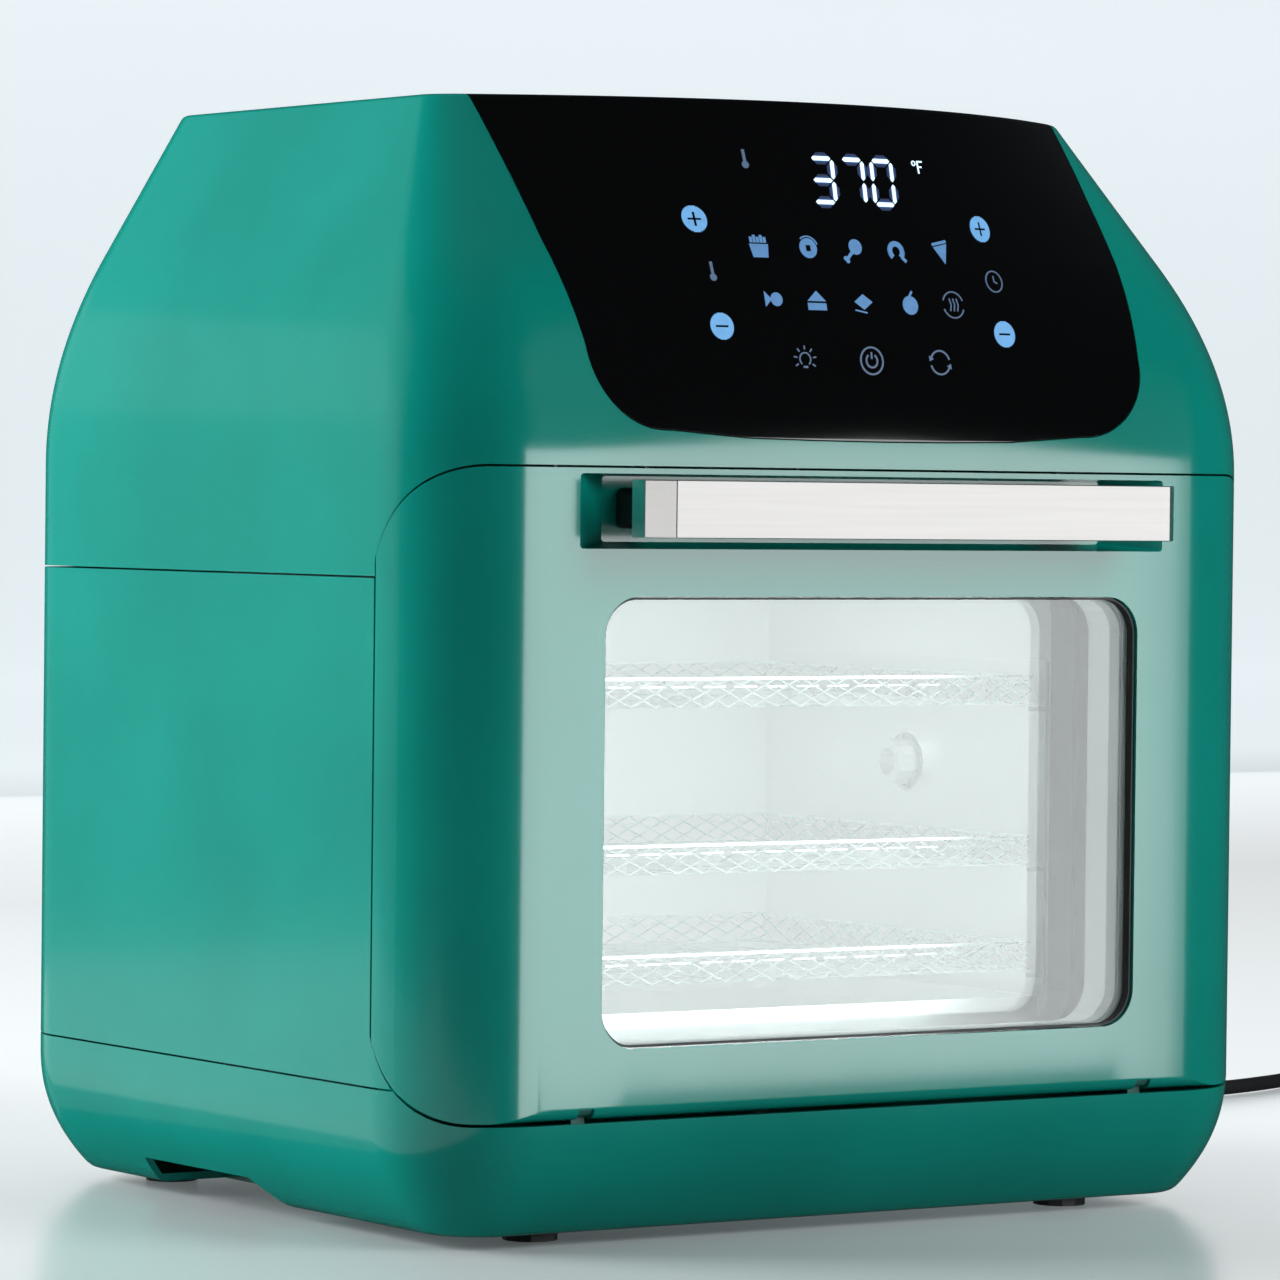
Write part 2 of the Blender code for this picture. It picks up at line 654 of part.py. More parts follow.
def make_motor():
    half, foot, low, high = 0.0480, 0.0620, 0.2353, 0.2452
    strap = 0.0012
    profile = [
        (-foot, low), (-half + strap, low), (-half + strap, high - strap), (half - strap, high - strap),
        (half - strap, low), (foot, low), (foot, low + strap), (half, low + strap),
        (half, high), (-half, high), (-half, low + strap), (-foot, low + strap),
    ]
    bm = bmesh.new()
    add_prism(bm, profile, "Y", FAN_Y - 0.0200, FAN_Y + 0.0200)
    bracket = mesh_object("motor_bracket", bm, "stainless", smooth=False)
    hole = bmesh.new()
    add_prism(hole, circle((0.0, FAN_Y), 0.0060, 12), "Z", 0.2400, 0.2500)
    combine(bracket, hole, "DIFFERENCE")

    bm = bmesh.new()
    profile = [
        (0.0300, high + GAP), (0.0320, high + 0.0060), (0.0320, 0.2760), (0.0260, 0.2845),
        (0.0045, 0.2845), (0.0045, high + GAP),
    ]
    add_turned(bm, profile, (0.0, FAN_Y))
    mesh_object("fan_motor", bm, "copper")


def make_rotisserie(parent):
    bm = bmesh.new()
    profile = [
        (0.0075, 0.0975), (0.0075, 0.1045), (0.0040, 0.1045), (0.0040, 0.1140),
        (0.0008, 0.1140), (0.0008, 0.1035), (0.0045, 0.1035), (0.0045, 0.0975),
    ]
    add_turned(bm, profile, (DRIVE_Y, DRIVE_Z), "X", 16)
    mesh_object("rotisserie_socket", bm, "stainless", parent=parent)

    bm = bmesh.new()
    add_box(bm, (0.1082, DRIVE_Y - 0.0200, DRIVE_Z - 0.0180), (0.1350, DRIVE_Y + 0.0200, DRIVE_Z + 0.0180))
    motor = mesh_object("rotisserie_motor", bm, "black_plastic", smooth=False)
    bore = bmesh.new()
    add_prism(bore, circle((DRIVE_Y, DRIVE_Z), 0.0046, 12), "X", 0.1000, 0.1150)
    combine(motor, bore, "DIFFERENCE")

    bm = bmesh.new()
    low = (-0.1049, DRIVE_Y - 0.0090, DRIVE_Z - 0.0100)
    high = (-0.0985, DRIVE_Y + 0.0090, DRIVE_Z + 0.0080)
    add_box(bm, low, high)
    holder = mesh_object("spindle_holder", bm, "stainless", smooth=False)
    slot = bmesh.new()
    reach = 0.0035
    add_box(slot, (-0.1100, DRIVE_Y - reach, DRIVE_Z - reach), (-0.0900, DRIVE_Y + reach, DRIVE_Z + 0.0200))
    combine(holder, slot, "DIFFERENCE")


def make_electrics():
    solids = (
        ("control_board", (-0.0750, 0.0560, 0.2620), (0.0750, 0.0576, 0.3350), "board_green"),
        ("display_module", (-0.0240, 0.0420, 0.3120), (0.0240, 0.0557, 0.3345), "black_plastic"),
        ("power_board", (0.1290, 0.0800, 0.2150), (0.1306, 0.1800, 0.2800), "board_green"),
        ("latch_magnet", (-0.0110, 0.0383, 0.2150), (0.0110, 0.0455, 0.2270), "black_plastic"),
    )
    for name, low, high, material in solids:
        bm = bmesh.new()
        add_box(bm, low, high)
        mesh_object(name, bm, material, smooth=False)

    bm = bmesh.new()
    add_prism(bm, circle(LAMP, 0.0110, 12), "Y", 0.2190, 0.2440)
    mesh_object("oven_lamp", bm, "ceramic_white")
    bm = bmesh.new()
    add_prism(bm, circle(LAMP, 0.0150, 16), "Y", 0.2145, CAVITY_BACK - GAP)
    mesh_object("lamp_cover", bm, "glass")
    bm = bmesh.new()
    add_prism(bm, circle(SENSOR, 0.0020, 8), "Y", 0.1750, CAVITY_BACK - GAP)
    mesh_object("temperature_sensor", bm, "stainless")


def make_door_switch(parent):
    axis = (0.0680, 0.2220)
    bm = bmesh.new()
    add_box(bm, (0.0600, BODY_FRONT + 0.0023, 0.2120), (0.0760, 0.0580, 0.2315))
    switch = mesh_object("door_switch", bm, "black_plastic", smooth=False)
    bore = bmesh.new()
    add_prism(bore, circle(axis, 0.0026, 12), "Y", 0.0300, 0.0530)
    combine(switch, bore, "DIFFERENCE")
    bm = bmesh.new()
    add_prism(bm, circle(axis, 0.0021, 12), "Y", DOOR_BACK + GAP, 0.0515)
    mesh_object("door_switch_plunger", bm, "ceramic_white", parent=parent)


# ---------------------------------------------------------------- door
def hinge_fillet():
    """What is cut from the door's lower front edge to leave an arc about the hinge axis."""
    radius = HINGE_Y
    low, front = DOOR_BOTTOM - 0.01, -0.0100
    angles = (math.pi / 2 * i / 5 for i in range(6))
    arc = [(HINGE_Y - radius * math.sin(a), HINGE_Z - radius * math.cos(a)) for a in angles]
    return [(front, HINGE_Z)] + list(reversed(arc)) + [(HINGE_Y, low), (front, low)]


def hinge_slot():
    """Room in the door for a bracket's eye, open downwards and, below the axis only, to the front."""
    low, front, back = DOOR_BOTTOM - 0.01, -0.0100, HINGE_Y + 0.0041
    top = HINGE_Z + HINGE_EYE + 0.0005
    mouth = HINGE_Z - 0.0006
    return [(front, low), (back, low), (back, top), (HINGE_SKIN, top), (HINGE_SKIN, mouth), (front, mouth)]


def swing_clear(outline, y):
    """An outline with its upper part lowered, so that this depth of the door swings out under the hood.

    A point behind the hinge axis rises as the door opens.  Each is put at the distance from that
    axis which the surface in front of it has, so none rises past the seam.
    """
    middle = (DOOR_BOTTOM + DOOR_TOP) / 2
    lowered = []
    for x, z in outline:
        start = max(face_depth(x), HINGE_Y)
        if z > middle:
            spare = (max(y, start) - HINGE_Y) ** 2 - (start - HINGE_Y) ** 2
            z = HINGE_Z + math.sqrt((z - HINGE_Z) ** 2 - spare)
        lowered.append((x, z))
    return lowered


def make_door_shell(parent):
    section = plan(HOOD_BOTTOM)
    bm = bmesh.new()
    add_loft(bm, [[(x, y, z) for x, y in section] for z in (DOOR_BOTTOM - 0.002, DOOR_TOP + 0.002)])
    shell = mesh_object("door_shell", bm, "green_plastic", parent=parent)
    keep = bmesh.new()
    depths = [-0.01] + steps_between(HINGE_Y, DOOR_BACK, 6)
    add_loft(keep, [[(x, y, z) for x, z in swing_clear(door_outline(0.0), y)] for y in depths])
    combine(shell, keep, "INTERSECT")
    recess = bmesh.new()
    face = [(x, -0.002, z) for x, z in rounded(0.1135, 0.2122, 0.2353, 0.0012, steps=2)]
    deep = [(x, RECESS_DEPTH, z) for x, z in rounded(0.0950, 0.2145, 0.2345, 0.0012, steps=2)]
    add_loft(recess, [face, deep])
    combine(shell, recess, "DIFFERENCE")
    pocket = bmesh.new()
    add_box(pocket, (-0.1460, 0.0090, 0.0500), (0.1460, 0.0600, 0.2045))
    combine(shell, pocket, "DIFFERENCE")
    seat = bmesh.new()
    add_prism(seat, rounded(0.1072, 0.0565, 0.2025, 0.012), "Y", 0.0044, 0.0200)
    combine(shell, seat, "DIFFERENCE")
    cuts = bmesh.new()
    add_prism(cuts, rounded(WINDOW_HALF, WINDOW_LOW, WINDOW_HIGH, WINDOW_RADIUS), "Y", -0.01, 0.0200)
    add_prism(cuts, hinge_fillet(), "X", -0.17, 0.17)
    add_box(cuts, (-0.0120, 0.0354, 0.2140), (0.0120, 0.0500, 0.2280))
    combine(shell, cuts, "DIFFERENCE")
    slots = bmesh.new()
    for side in (-1, 1):
        ends = sorted((side * (HINGE_LUG[0] - 0.0004), side * (HINGE_LUG[1] + 0.0004)))
        add_prism(slots, hinge_slot(), "X", *ends)
    combine(shell, slots, "DIFFERENCE")
    pins = bmesh.new()
    for side in (-1, 1):
        ends = sorted((side * 0.0995, side * 0.1125))
        add_prism(pins, circle((HINGE_Y, HINGE_Z), HINGE_BORE, 12), "X", *ends)
    combine(shell, pins, "DIFFERENCE")


def make_door_inner(parent):
    bm = bmesh.new()
    add_prism(bm, rounded(0.1455, 0.0504, 0.2041, 0.004, steps=3), "Y", 0.0096, 0.0368)
    frame = mesh_object("door_inner_frame", bm, "enamel_grey", parent=parent)
    cuts = bmesh.new()
    add_prism(cuts, rounded(WINDOW_HALF, WINDOW_LOW, WINDOW_HIGH, WINDOW_RADIUS), "Y", 0.0, 0.03)
    combine(frame, cuts, "DIFFERENCE")
    seat = bmesh.new()
    add_prism(seat, rounded(0.1080, 0.0550, 0.2030, 0.012), "Y", 0.0270, 0.0500)
    combine(frame, seat, "DIFFERENCE")

    bm = bmesh.new()
    add_prism(bm, rounded(0.1068, 0.0569, 0.2021, 0.012), "Y", 0.0047, 0.0087)
    mesh_object("outer_glass", bm, "glass", parent=parent)
    bm = bmesh.new()
    add_prism(bm, rounded(0.1076, 0.0554, 0.2026, 0.012), "Y", 0.0273, 0.0313)
    mesh_object("inner_glass", bm, "glass", parent=parent)

    seal = ((0.1076, 0.0554, 0.2026, 0.0120), (0.1040, 0.0590, 0.1990, 0.0100))
    gasket = ((0.1012, 0.0613, 0.1977, 0.0117), (0.0994, 0.0631, 0.1959, 0.0100))
    for name, (outer, inner), front, back, material in (
        ("door_seal", seal, 0.0316, 0.0377, "silicone"),
        ("window_gasket", gasket, 0.0012, 0.0044, "rubber"),
    ):
        bm = bmesh.new()
        add_prism(bm, rounded(*outer), "Y", front, back)
        ring = mesh_object(name, bm, material, parent=parent)
        hole = bmesh.new()
        add_prism(hole, rounded(*inner), "Y", front - 0.01, back + 0.01)
        combine(ring, hole, "DIFFERENCE")

    bm = bmesh.new()
    add_box(bm, (-0.0117, 0.0357, 0.2143), (0.0117, 0.0371, 0.2277))
    mesh_object("door_strike", bm, "stainless", smooth=False, parent=parent)


def make_handle(parent):
    half, chamfer = HANDLE_HALF, HANDLE_CHAMFER
    outline = [
        (-half, HANDLE_BACK), (-half, HANDLE_FRONT + chamfer), (chamfer - half, HANDLE_FRONT),
        (half - chamfer, HANDLE_FRONT), (half, HANDLE_FRONT + chamfer), (half, HANDLE_BACK),
    ]
    bm = bmesh.new()
    add_prism(bm, outline, "Z", HANDLE_LOW, HANDLE_HIGH)
    mesh_object("handle_bar", bm, "satin_aluminium", smooth=False, parent=parent)
    for name, side in (("handle_post_left", -1), ("handle_post_right", 1)):
        ends = sorted((side * 0.0780, side * 0.0900))
        bm = bmesh.new()
        add_box(bm, (ends[0], HANDLE_BACK + GAP, 0.2185), (ends[1], RECESS_DEPTH - GAP, 0.2310))
        mesh_object(name, bm, "black_plastic", smooth=False, parent=parent)


def make_hinges(parent):
    strap = [
        (0.0052, HINGE_Z), (0.0052, 0.0362), (0.0423, 0.0362), (0.0423, 0.0600),
        (0.0403, 0.0600), (0.0403, 0.0384), (0.0076, 0.0384), (0.0076, HINGE_Z),
    ]
    for name, side in (("left", -1), ("right", 1)):
        ends = sorted((side * HINGE_LUG[0], side * HINGE_LUG[1]))
        bm = bmesh.new()
        add_prism(bm, strap, "X", *ends)
        bracket = mesh_object(f"hinge_bracket_{name}", bm, "green_plastic")
        eye = bmesh.new()
        add_prism(eye, circle((HINGE_Y, HINGE_Z), HINGE_EYE, 16), "X", *ends)
        combine(bracket, eye, "UNION")
        bore = bmesh.new()
        add_prism(bore, circle((HINGE_Y, HINGE_Z), HINGE_BORE, 12), "X", ends[0] - 0.01, ends[1] + 0.01)
        combine(bracket, bore, "DIFFERENCE")
        ends = sorted((side * 0.0998, side * 0.1122))
        bm = bmesh.new()
        add_prism(bm, circle((HINGE_Y, HINGE_Z), HINGE_PIN, 12), "X", *ends)
        mesh_object(f"hinge_pin_{name}", bm, "stainless", parent=parent)


# ---------------------------------------------------------------- mains lead
def smooth_route(points, spacing):
    """Evenly spaced points on a Catmull-Rom curve through the given points."""
    knots = [Vector(p) for p in points]
    knots = [knots[0] * 2 - knots[1]] + knots + [knots[-1] * 2 - knots[-2]]
    fine = []
    for p0, p1, p2, p3 in zip(knots, knots[1:], knots[2:], knots[3:]):
        for i in range(12):
            t = i / 12
            a = 2 * p1 + (p2 - p0) * t
            b = (2 * p0 - 5 * p1 + 4 * p2 - p3) * t * t
            c = (3 * p1 - p0 - 3 * p2 + p3) * t ** 3
            fine.append((a + b + c) / 2)
    fine.append(knots[-2])
    kept, walked = [fine[0]], 0.0
    for a, b in zip(fine, fine[1:]):
        walked += (b - a).length
        if walked >= spacing:
            kept.append(b)
            walked = 0.0
    if (kept[-1] - fine[-1]).length < spacing / 2:
        kept.pop()
    kept.append(fine[-1])
    return kept


def cord_tube(name, points):
    curve = bpy.data.curves.new(name, "CURVE")
    curve.dimensions = "3D"
    curve.bevel_depth = CORD_DIAMETER / 2
    curve.bevel_resolution = 2
    curve.use_fill_caps = True
    spline = curve.splines.new("POLY")
    spline.points.add(len(points) - 1)
    for target, point in zip(spline.points, points):
        target.co = (*point, 1.0)
    curve.materials.append(finish("rubber"))
    obj = bpy.data.objects.new(name, curve)
    bpy.context.scene.collection.objects.link(obj)


def coil_point(radius, angle, z):
    return Vector((COIL_CENTRE[0] + radius * math.cos(angle), COIL_CENTRE[1] + radius * math.sin(angle), z))


def make_mains_lead():
    x, y, z = CORD_EXIT
    bm = bmesh.new()
    profile = [
        (0.0066, 0.2610), (0.0066, 0.2700), (0.0060, 0.2720), (0.0040, y - GAP),
        (0.0010, y - GAP), (0.0010, 0.2610),
    ]
    add_turned(bm, profile, (x, z), "Y", 16)
    mesh_object("strain_relief", bm, "rubber")

    heading = Vector((math.sin(COIL_ENTRY_ANGLE), -math.cos(COIL_ENTRY_ANGLE), 0.0))
    entry = coil_point(COIL_ENTRY_RADIUS, COIL_ENTRY_ANGLE, CORD_ROUTE[-1][2])
    route = list(CORD_ROUTE) + [entry - heading * 0.0247]
    cord_tube("power_cord", smooth_route(route, CORD_DIAMETER * 2.4))

    bm = bmesh.new()
    profile = [(COIL_INNER, GAP), (COIL_OUTER, GAP), (COIL_OUTER, COIL_HIGH), (COIL_INNER, COIL_HIGH)]
    add_turned(bm, profile, COIL_CENTRE)
    mesh_object("cord_coil", bm, "rubber")

    leave = coil_point(COIL_EXIT_RADIUS, COIL_ENTRY_ANGLE, 0.0084)
    cord_tube("cord_end", [leave + heading * s for s in (0.0212, 0.0256, 0.0300)])

    bm = bmesh.new()
    turn = Matrix.Rotation(COIL_ENTRY_ANGLE - math.pi / 2, 4, "Z")
    place = Matrix.Translation(leave + heading * 0.0303) @ turn
    body = [
        [(0.0000, u, v) for u, v in rounded(0.0040, -0.0040, 0.0040, 0.0025, steps=2)],
        [(0.0140, u, v) for u, v in rounded(0.0055, -0.0055, 0.0055, 0.0030, steps=2)],
        [(0.0160, u, v) for u, v in rounded(0.0110, -0.0080, 0.0080, 0.0040, steps=2)],
        [(0.0380, u, v) for u, v in rounded(0.0120, -0.0080, 0.0080, 0.0040, steps=2)],
    ]
    add_loft(bm, body)
    bm.transform(place)
    plug = mesh_object("plug", bm, "rubber")
    blades = bmesh.new()
    add_box(blades, (0.0370, -0.0071, -0.0005), (0.0540, -0.0056, 0.0057))
    add_box(blades, (0.0370, 0.0056, -0.0005), (0.0540, 0.0071, 0.0057))
    add_box(blades, (0.0370, -0.0022, -0.0065), (0.0560, 0.0022, -0.0025))
    blades.transform(place)
    combine(plug, blades, "UNION")


# ---------------------------------------------------------------- assembly
def build():
    clear_scene()
    door = axis_empty("door_axis", (0.0, HINGE_Y, HINGE_Z))
    rotor = axis_empty("fan_axis", (0.0, FAN_Y, 0.0))
    drive = axis_empty("rotisserie_axis", (0.0, DRIVE_Y, DRIVE_Z))
    plunger = axis_empty("plunger_axis", (0.0680, DOOR_BACK, 0.2220))

    make_base()
    make_hood()
    make_control_panel()
    make_side_panel("side_panel_left", -1)
    make_side_panel("side_panel_right", 1)
    make_rear_cover()
    make_top_cover()
    make_feet()

    make_front_frame()
    make_cavity()
    make_rack_support("rack_support_left", -1)
    make_rack_support("rack_support_right", 1)
    for name, top in RACK_TOPS.items():
        make_rack(name, top)
    make_drip_tray()
    make_heating()
    make_fans(rotor)
    make_motor()
    make_rotisserie(drive)
    make_electrics()
    make_door_switch(plunger)

    make_door_shell(door)
    make_door_inner(door)
    make_handle(door)
    make_hinges(door)
    make_mains_lead()
    for obj in bpy.data.objects:
        if obj.parent is None:
            obj.location.y -= MIDDLE_Y


build()
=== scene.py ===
"""Looks for the countertop air-fryer oven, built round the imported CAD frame.  Metres."""

import json
import math

import bmesh
import bpy
from mathutils import Matrix, Vector


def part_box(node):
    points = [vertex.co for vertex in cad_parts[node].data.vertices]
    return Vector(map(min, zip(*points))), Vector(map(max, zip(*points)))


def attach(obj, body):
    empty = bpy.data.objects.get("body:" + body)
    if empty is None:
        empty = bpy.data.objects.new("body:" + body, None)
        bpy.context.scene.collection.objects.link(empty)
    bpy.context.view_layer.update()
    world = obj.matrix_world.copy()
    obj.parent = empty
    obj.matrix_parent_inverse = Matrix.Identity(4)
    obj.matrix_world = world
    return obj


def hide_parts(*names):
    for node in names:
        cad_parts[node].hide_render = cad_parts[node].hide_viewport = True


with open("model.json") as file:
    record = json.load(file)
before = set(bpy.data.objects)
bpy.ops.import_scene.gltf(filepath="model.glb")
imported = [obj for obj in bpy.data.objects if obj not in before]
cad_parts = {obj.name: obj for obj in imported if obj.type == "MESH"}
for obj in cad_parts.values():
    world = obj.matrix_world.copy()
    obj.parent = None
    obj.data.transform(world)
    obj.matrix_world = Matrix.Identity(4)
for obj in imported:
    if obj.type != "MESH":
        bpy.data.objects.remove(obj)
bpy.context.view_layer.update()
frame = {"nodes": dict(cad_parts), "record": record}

# -------- driving dimensions
# Lengths along Y are measured back from the door's front face, which the frame gives.
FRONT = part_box("door_shell")[0].y
WIDTH = 0.320
DEPTH = 0.270
HEIGHT = 0.352
FACE_CORNER = 0.038
REAR_CORNER = 0.029
WALL = 0.0026
PANEL_SEAM = 0.0006
DOOR_BOTTOM = 0.0400
DOOR_TOP = 0.2369
DOOR_BACK = 0.0374
DOOR_RADIUS_TOP = 0.042
DOOR_RADIUS_BOTTOM = 0.038
SEAM_TOP = 0.0007
SEAM_BOTTOM = 0.0010
BODY_FRONT = 0.0380
BASE_BOTTOM = 0.0040
BASE_TOP = 0.0487
HOOD_BOTTOM = 0.2035
TAPER_START = 0.2372
TAPER_ARC = 0.068
TUCK_START = 0.0444
TUCK_POWER = 2.25
PANEL_THICKNESS = 0.0030
WINDOW_HALF = 0.1015
WINDOW_LOW = 0.0610
WINDOW_HIGH = 0.1980
WINDOW_RADIUS = 0.012
HINGE_Y = 0.0040
HINGE_Z = 0.0440
HINGE_SKIN = 0.0006
RACKS = ("cooking_rack_top", "cooking_rack_middle", "cooking_rack_bottom")

CORD_DIAMETER = 0.0055
CORD_ROUTE = (
    (0.1050, 0.2965, 0.0240),
    (0.1050, 0.3090, 0.0236),
    (0.1055, 0.3220, 0.0203),
    (0.1080, 0.3350, 0.0138),
    (0.1145, 0.3465, 0.0076),
    (0.1265, 0.3550, 0.0042),
    (0.1430, 0.3588, 0.0031),
    (0.1650, 0.3575, 0.0031),
    (0.1950, 0.3490, 0.0031),
    (0.2300, 0.3350, 0.0031),
    (0.2650, 0.3205, 0.0031),
    (0.3000, 0.3083, 0.0031),
    (0.3350, 0.3005, 0.0031),
    (0.3620, 0.2984, 0.0031),
    (0.3850, 0.3004, 0.0031),
    (0.4160, 0.3110, 0.0031),
)
COIL_CENTRE = (0.4690, 0.2990)
COIL_START = math.radians(111)
COIL_TURNS = 3.0
COIL_RADIUS = 0.0330
COIL_LEAD_IN = 0.0247    # the straight run before the first turn
FLOOR_Z = 0.00305        # height of a turn that lies on the table
# stages of the winding: start and end in turns, then the radius or height it goes to
RADIUS_STAGES = ((0.85, 1.00, 0.0272), (1.68, 1.86, 0.0300), (2.55, 2.80, 0.0357))
HEIGHT_STAGES = ((1.68, 1.86, 0.0086), (2.00, 2.10, 0.0079), (2.52, 2.62, 0.0086), (2.90, 3.00, 0.0084))
PLUG_REACH = 0.0303      # from the coil's last point to the plug


# -------- camera
def make_camera():
    data = bpy.data.cameras.new("camera")
    data.lens = 175.15
    data.sensor_width = 36.0
    data.clip_start = 0.05
    data.clip_end = 30.0
    camera = bpy.data.objects.new("camera", data)
    right = Vector((0.83370, -0.55211, 0.01115))
    ahead = Vector((0.55221, 0.83337, -0.02357))
    up = right.cross(ahead)
    place = Matrix((right, up, -ahead)).transposed().to_4x4()
    place.translation = Vector((-1.12919, FRONT - 1.56972, 0.22936))
    camera.matrix_world = place
    bpy.context.scene.collection.objects.link(camera)
    bpy.context.scene.camera = camera


# -------- materials
class Nodes:
    """A short way to write a procedural material."""

    def __init__(self, name):
        self.material = bpy.data.materials.new(name)
        self.material.use_nodes = True
        self.tree = self.material.node_tree
        self.shader = self.tree.nodes["Principled BSDF"]

    def add(self, kind, inputs=None, **settings):
        node = self.tree.nodes.new(kind)
        for key, value in settings.items():
            setattr(node, key, value)
        for key, value in (inputs or {}).items():
            if isinstance(value, bpy.types.NodeSocket):
                self.tree.links.new(value, node.inputs[key])
            else:
                node.inputs[key].default_value = value
        return node

    def set(self, **values):
        for key, value in values.items():
            socket = self.shader.inputs[key.replace("_", " ")]
            if isinstance(value, bpy.types.NodeSocket):
                self.tree.links.new(value, socket)
            else:
                socket.default_value = value

    def noise(self, scale, detail=3.0, stretch=(1.0, 1.0, 1.0)):
        place = self.add("ShaderNodeTexCoord").outputs["Object"]
        mapped = self.add("ShaderNodeMapping", {"Vector": place, "Scale": stretch}).outputs[0]
        made = self.add("ShaderNodeTexNoise", {"Vector": mapped, "Scale": scale, "Detail": detail})
        return made.outputs["Fac"]

    def between(self, value, low, high, low_in=0.3, high_in=0.7):
        made = self.add("ShaderNodeMapRange", {"Value": value, "From Min": low_in, "From Max": high_in,
                                               "To Min": low, "To Max": high})
        return made.outputs["Result"]

    def tint(self, value, colour_a, colour_b):
        ramp = self.add("ShaderNodeValToRGB", {"Fac": value})
        for stop, colour, spot in zip(ramp.color_ramp.elements, (colour_a, colour_b), (0.35, 0.65)):
            stop.color, stop.position = (*colour, 1.0), spot
        return ramp.outputs["Color"]

    def bump(self, value, strength, distance):
        made = self.add("ShaderNodeBump", {"Height": value, "Strength": strength, "Distance": distance})
        self.set(Normal=made.outputs["Normal"])


def moulded(name, colour, roughness, coat=0.0, grain=900.0, bump=0.02, spread=0.04, variation=0.06):
    """Moulded plastic: slight cloudiness of colour and gloss, and a fine skin texture."""
    nodes = Nodes(name)
    cloud = nodes.noise(14.0)
    darker = tuple(c * (1 - variation) for c in colour)
    lighter = tuple(c * (1 + variation) for c in colour)
    nodes.set(Base_Color=nodes.tint(cloud, darker, lighter))
    nodes.set(Roughness=nodes.between(nodes.noise(60.0), roughness - spread / 2, roughness + spread / 2))
    nodes.set(IOR=1.50)
    if coat:
        nodes.set(Coat_Weight=coat, Coat_Roughness=0.09)
    nodes.bump(nodes.noise(grain, 2.0), bump, 0.0002)
    return nodes.material


def metal(name, colour, roughness, stretch=(1.0, 1.0, 1.0), grain=700.0, bump=0.05, spread=0.10):
    """Sheet or bar metal with a brushed grain along the axis that is least stretched."""
    nodes = Nodes(name)
    brushed = nodes.noise(grain, 4.0, stretch)
    nodes.set(Base_Color=nodes.tint(brushed, tuple(c * 0.93 for c in colour), colour))
    nodes.set(Metallic=1.0)
    nodes.set(Roughness=nodes.between(brushed, roughness - spread / 2, roughness + spread / 2))
    nodes.bump(brushed, bump, 0.0001)
    return nodes.material


def clear_glass(name):
    """Tempered glass with a faint green body and a film of uneven gloss."""
    nodes = Nodes(name)
    nodes.set(Base_Color=(0.97, 1.0, 0.99, 1.0), IOR=1.40)
    nodes.set(Transmission_Weight=1.0)
    nodes.set(Roughness=nodes.between(nodes.noise(9.0), 0.0, 0.02))
    return nodes.material


def lit(name, colour, strength):
    nodes = Nodes(name)
    glow = nodes.noise(400.0)
    nodes.set(Base_Color=(0.02, 0.03, 0.05, 1.0), Emission_Color=(*colour, 1.0))
    nodes.set(Emission_Strength=nodes.between(glow, strength * 0.92, strength * 1.08))
    return nodes.material


MATERIALS = {
    "green": moulded("teal_plastic", (0.001, 0.205, 0.165), 0.16, coat=0.35, bump=0.006, spread=0.02),
    # a darker, matte copy of the green for the hinge brackets: painted shade, so that they read as the dark
    # of the seam under the door
    "green_painted_shade": moulded("teal_painted_shade", (0.001, 0.110, 0.088), 0.60, grain=1500.0, bump=0.02),
    "panel": moulded("panel_gloss", (0.0010, 0.0010, 0.0012), 0.06, coat=0.2, bump=0.002, spread=0.02),
    "black": moulded("black_plastic", (0.014, 0.014, 0.015), 0.45, grain=1500.0, bump=0.06),
    "rubber": moulded("black_rubber", (0.011, 0.011, 0.012), 0.62, grain=2200.0, bump=0.10),
    "silicone": moulded("silicone", (0.060, 0.060, 0.064), 0.55, grain=1200.0, bump=0.04),
    "coated": moulded("coated_sheet", (0.56, 0.58, 0.59), 0.42, grain=1100.0, bump=0.004),
    "aluminium": metal("satin_aluminium", (0.88, 0.87, 0.86), 0.30, (0.02, 1.0, 1.0), 700.0, 0.015, 0.04),
    "steel": metal("stainless_sheet", (0.70, 0.71, 0.72), 0.30, (0.05, 1.0, 1.0), 2600.0, 0.004, 0.02),
    "wire": metal("bright_steel", (0.86, 0.87, 0.88), 0.22, grain=1200.0),
    # the strands are a darker copy of the rack steel: painted shade, so that they read faint beside the
    # bright rim
    "mesh": metal("expanded_mesh_painted_shade", (0.19, 0.20, 0.21), 0.50, grain=1200.0),
    "heater": metal("heater_sheath", (0.14, 0.12, 0.11), 0.55, bump=0.12),
    "copper": metal("motor_copper", (0.66, 0.33, 0.18), 0.38),
    "board": moulded("circuit_board", (0.010, 0.110, 0.038), 0.42, grain=300.0, bump=0.2),
    "ceramic": moulded("ceramic", (0.80, 0.80, 0.77), 0.35),
    "glass": clear_glass("tempered_glass"),
    "discs": lit("adjust_symbols", (0.15, 0.41, 0.76), 1.0),
    "icons": lit("food_symbols", (0.085, 0.23, 0.47), 1.0),
    "dim_icons": lit("control_symbols", (0.075, 0.12, 0.20), 1.0),
    "digits": lit("display_digits", (0.62, 0.84, 1.0), 1.6),
    "halo_near": lit("display_halo_near", (0.020, 0.090, 0.42), 0.36),
    "halo_far": lit("display_halo_far", (0.006, 0.030, 0.16), 0.22),
}
# the record's slot -> the finish that carried-over CAD nodes wear, where the two names differ
SLOT_FINISH = {
    "green_plastic": "green", "black_gloss": "panel", "black_plastic": "black",
    "satin_aluminium": "aluminium", "stainless": "steel", "enamel_grey": "coated",
    "heater_steel": "heater", "board_green": "board", "ceramic_white": "ceramic",
}


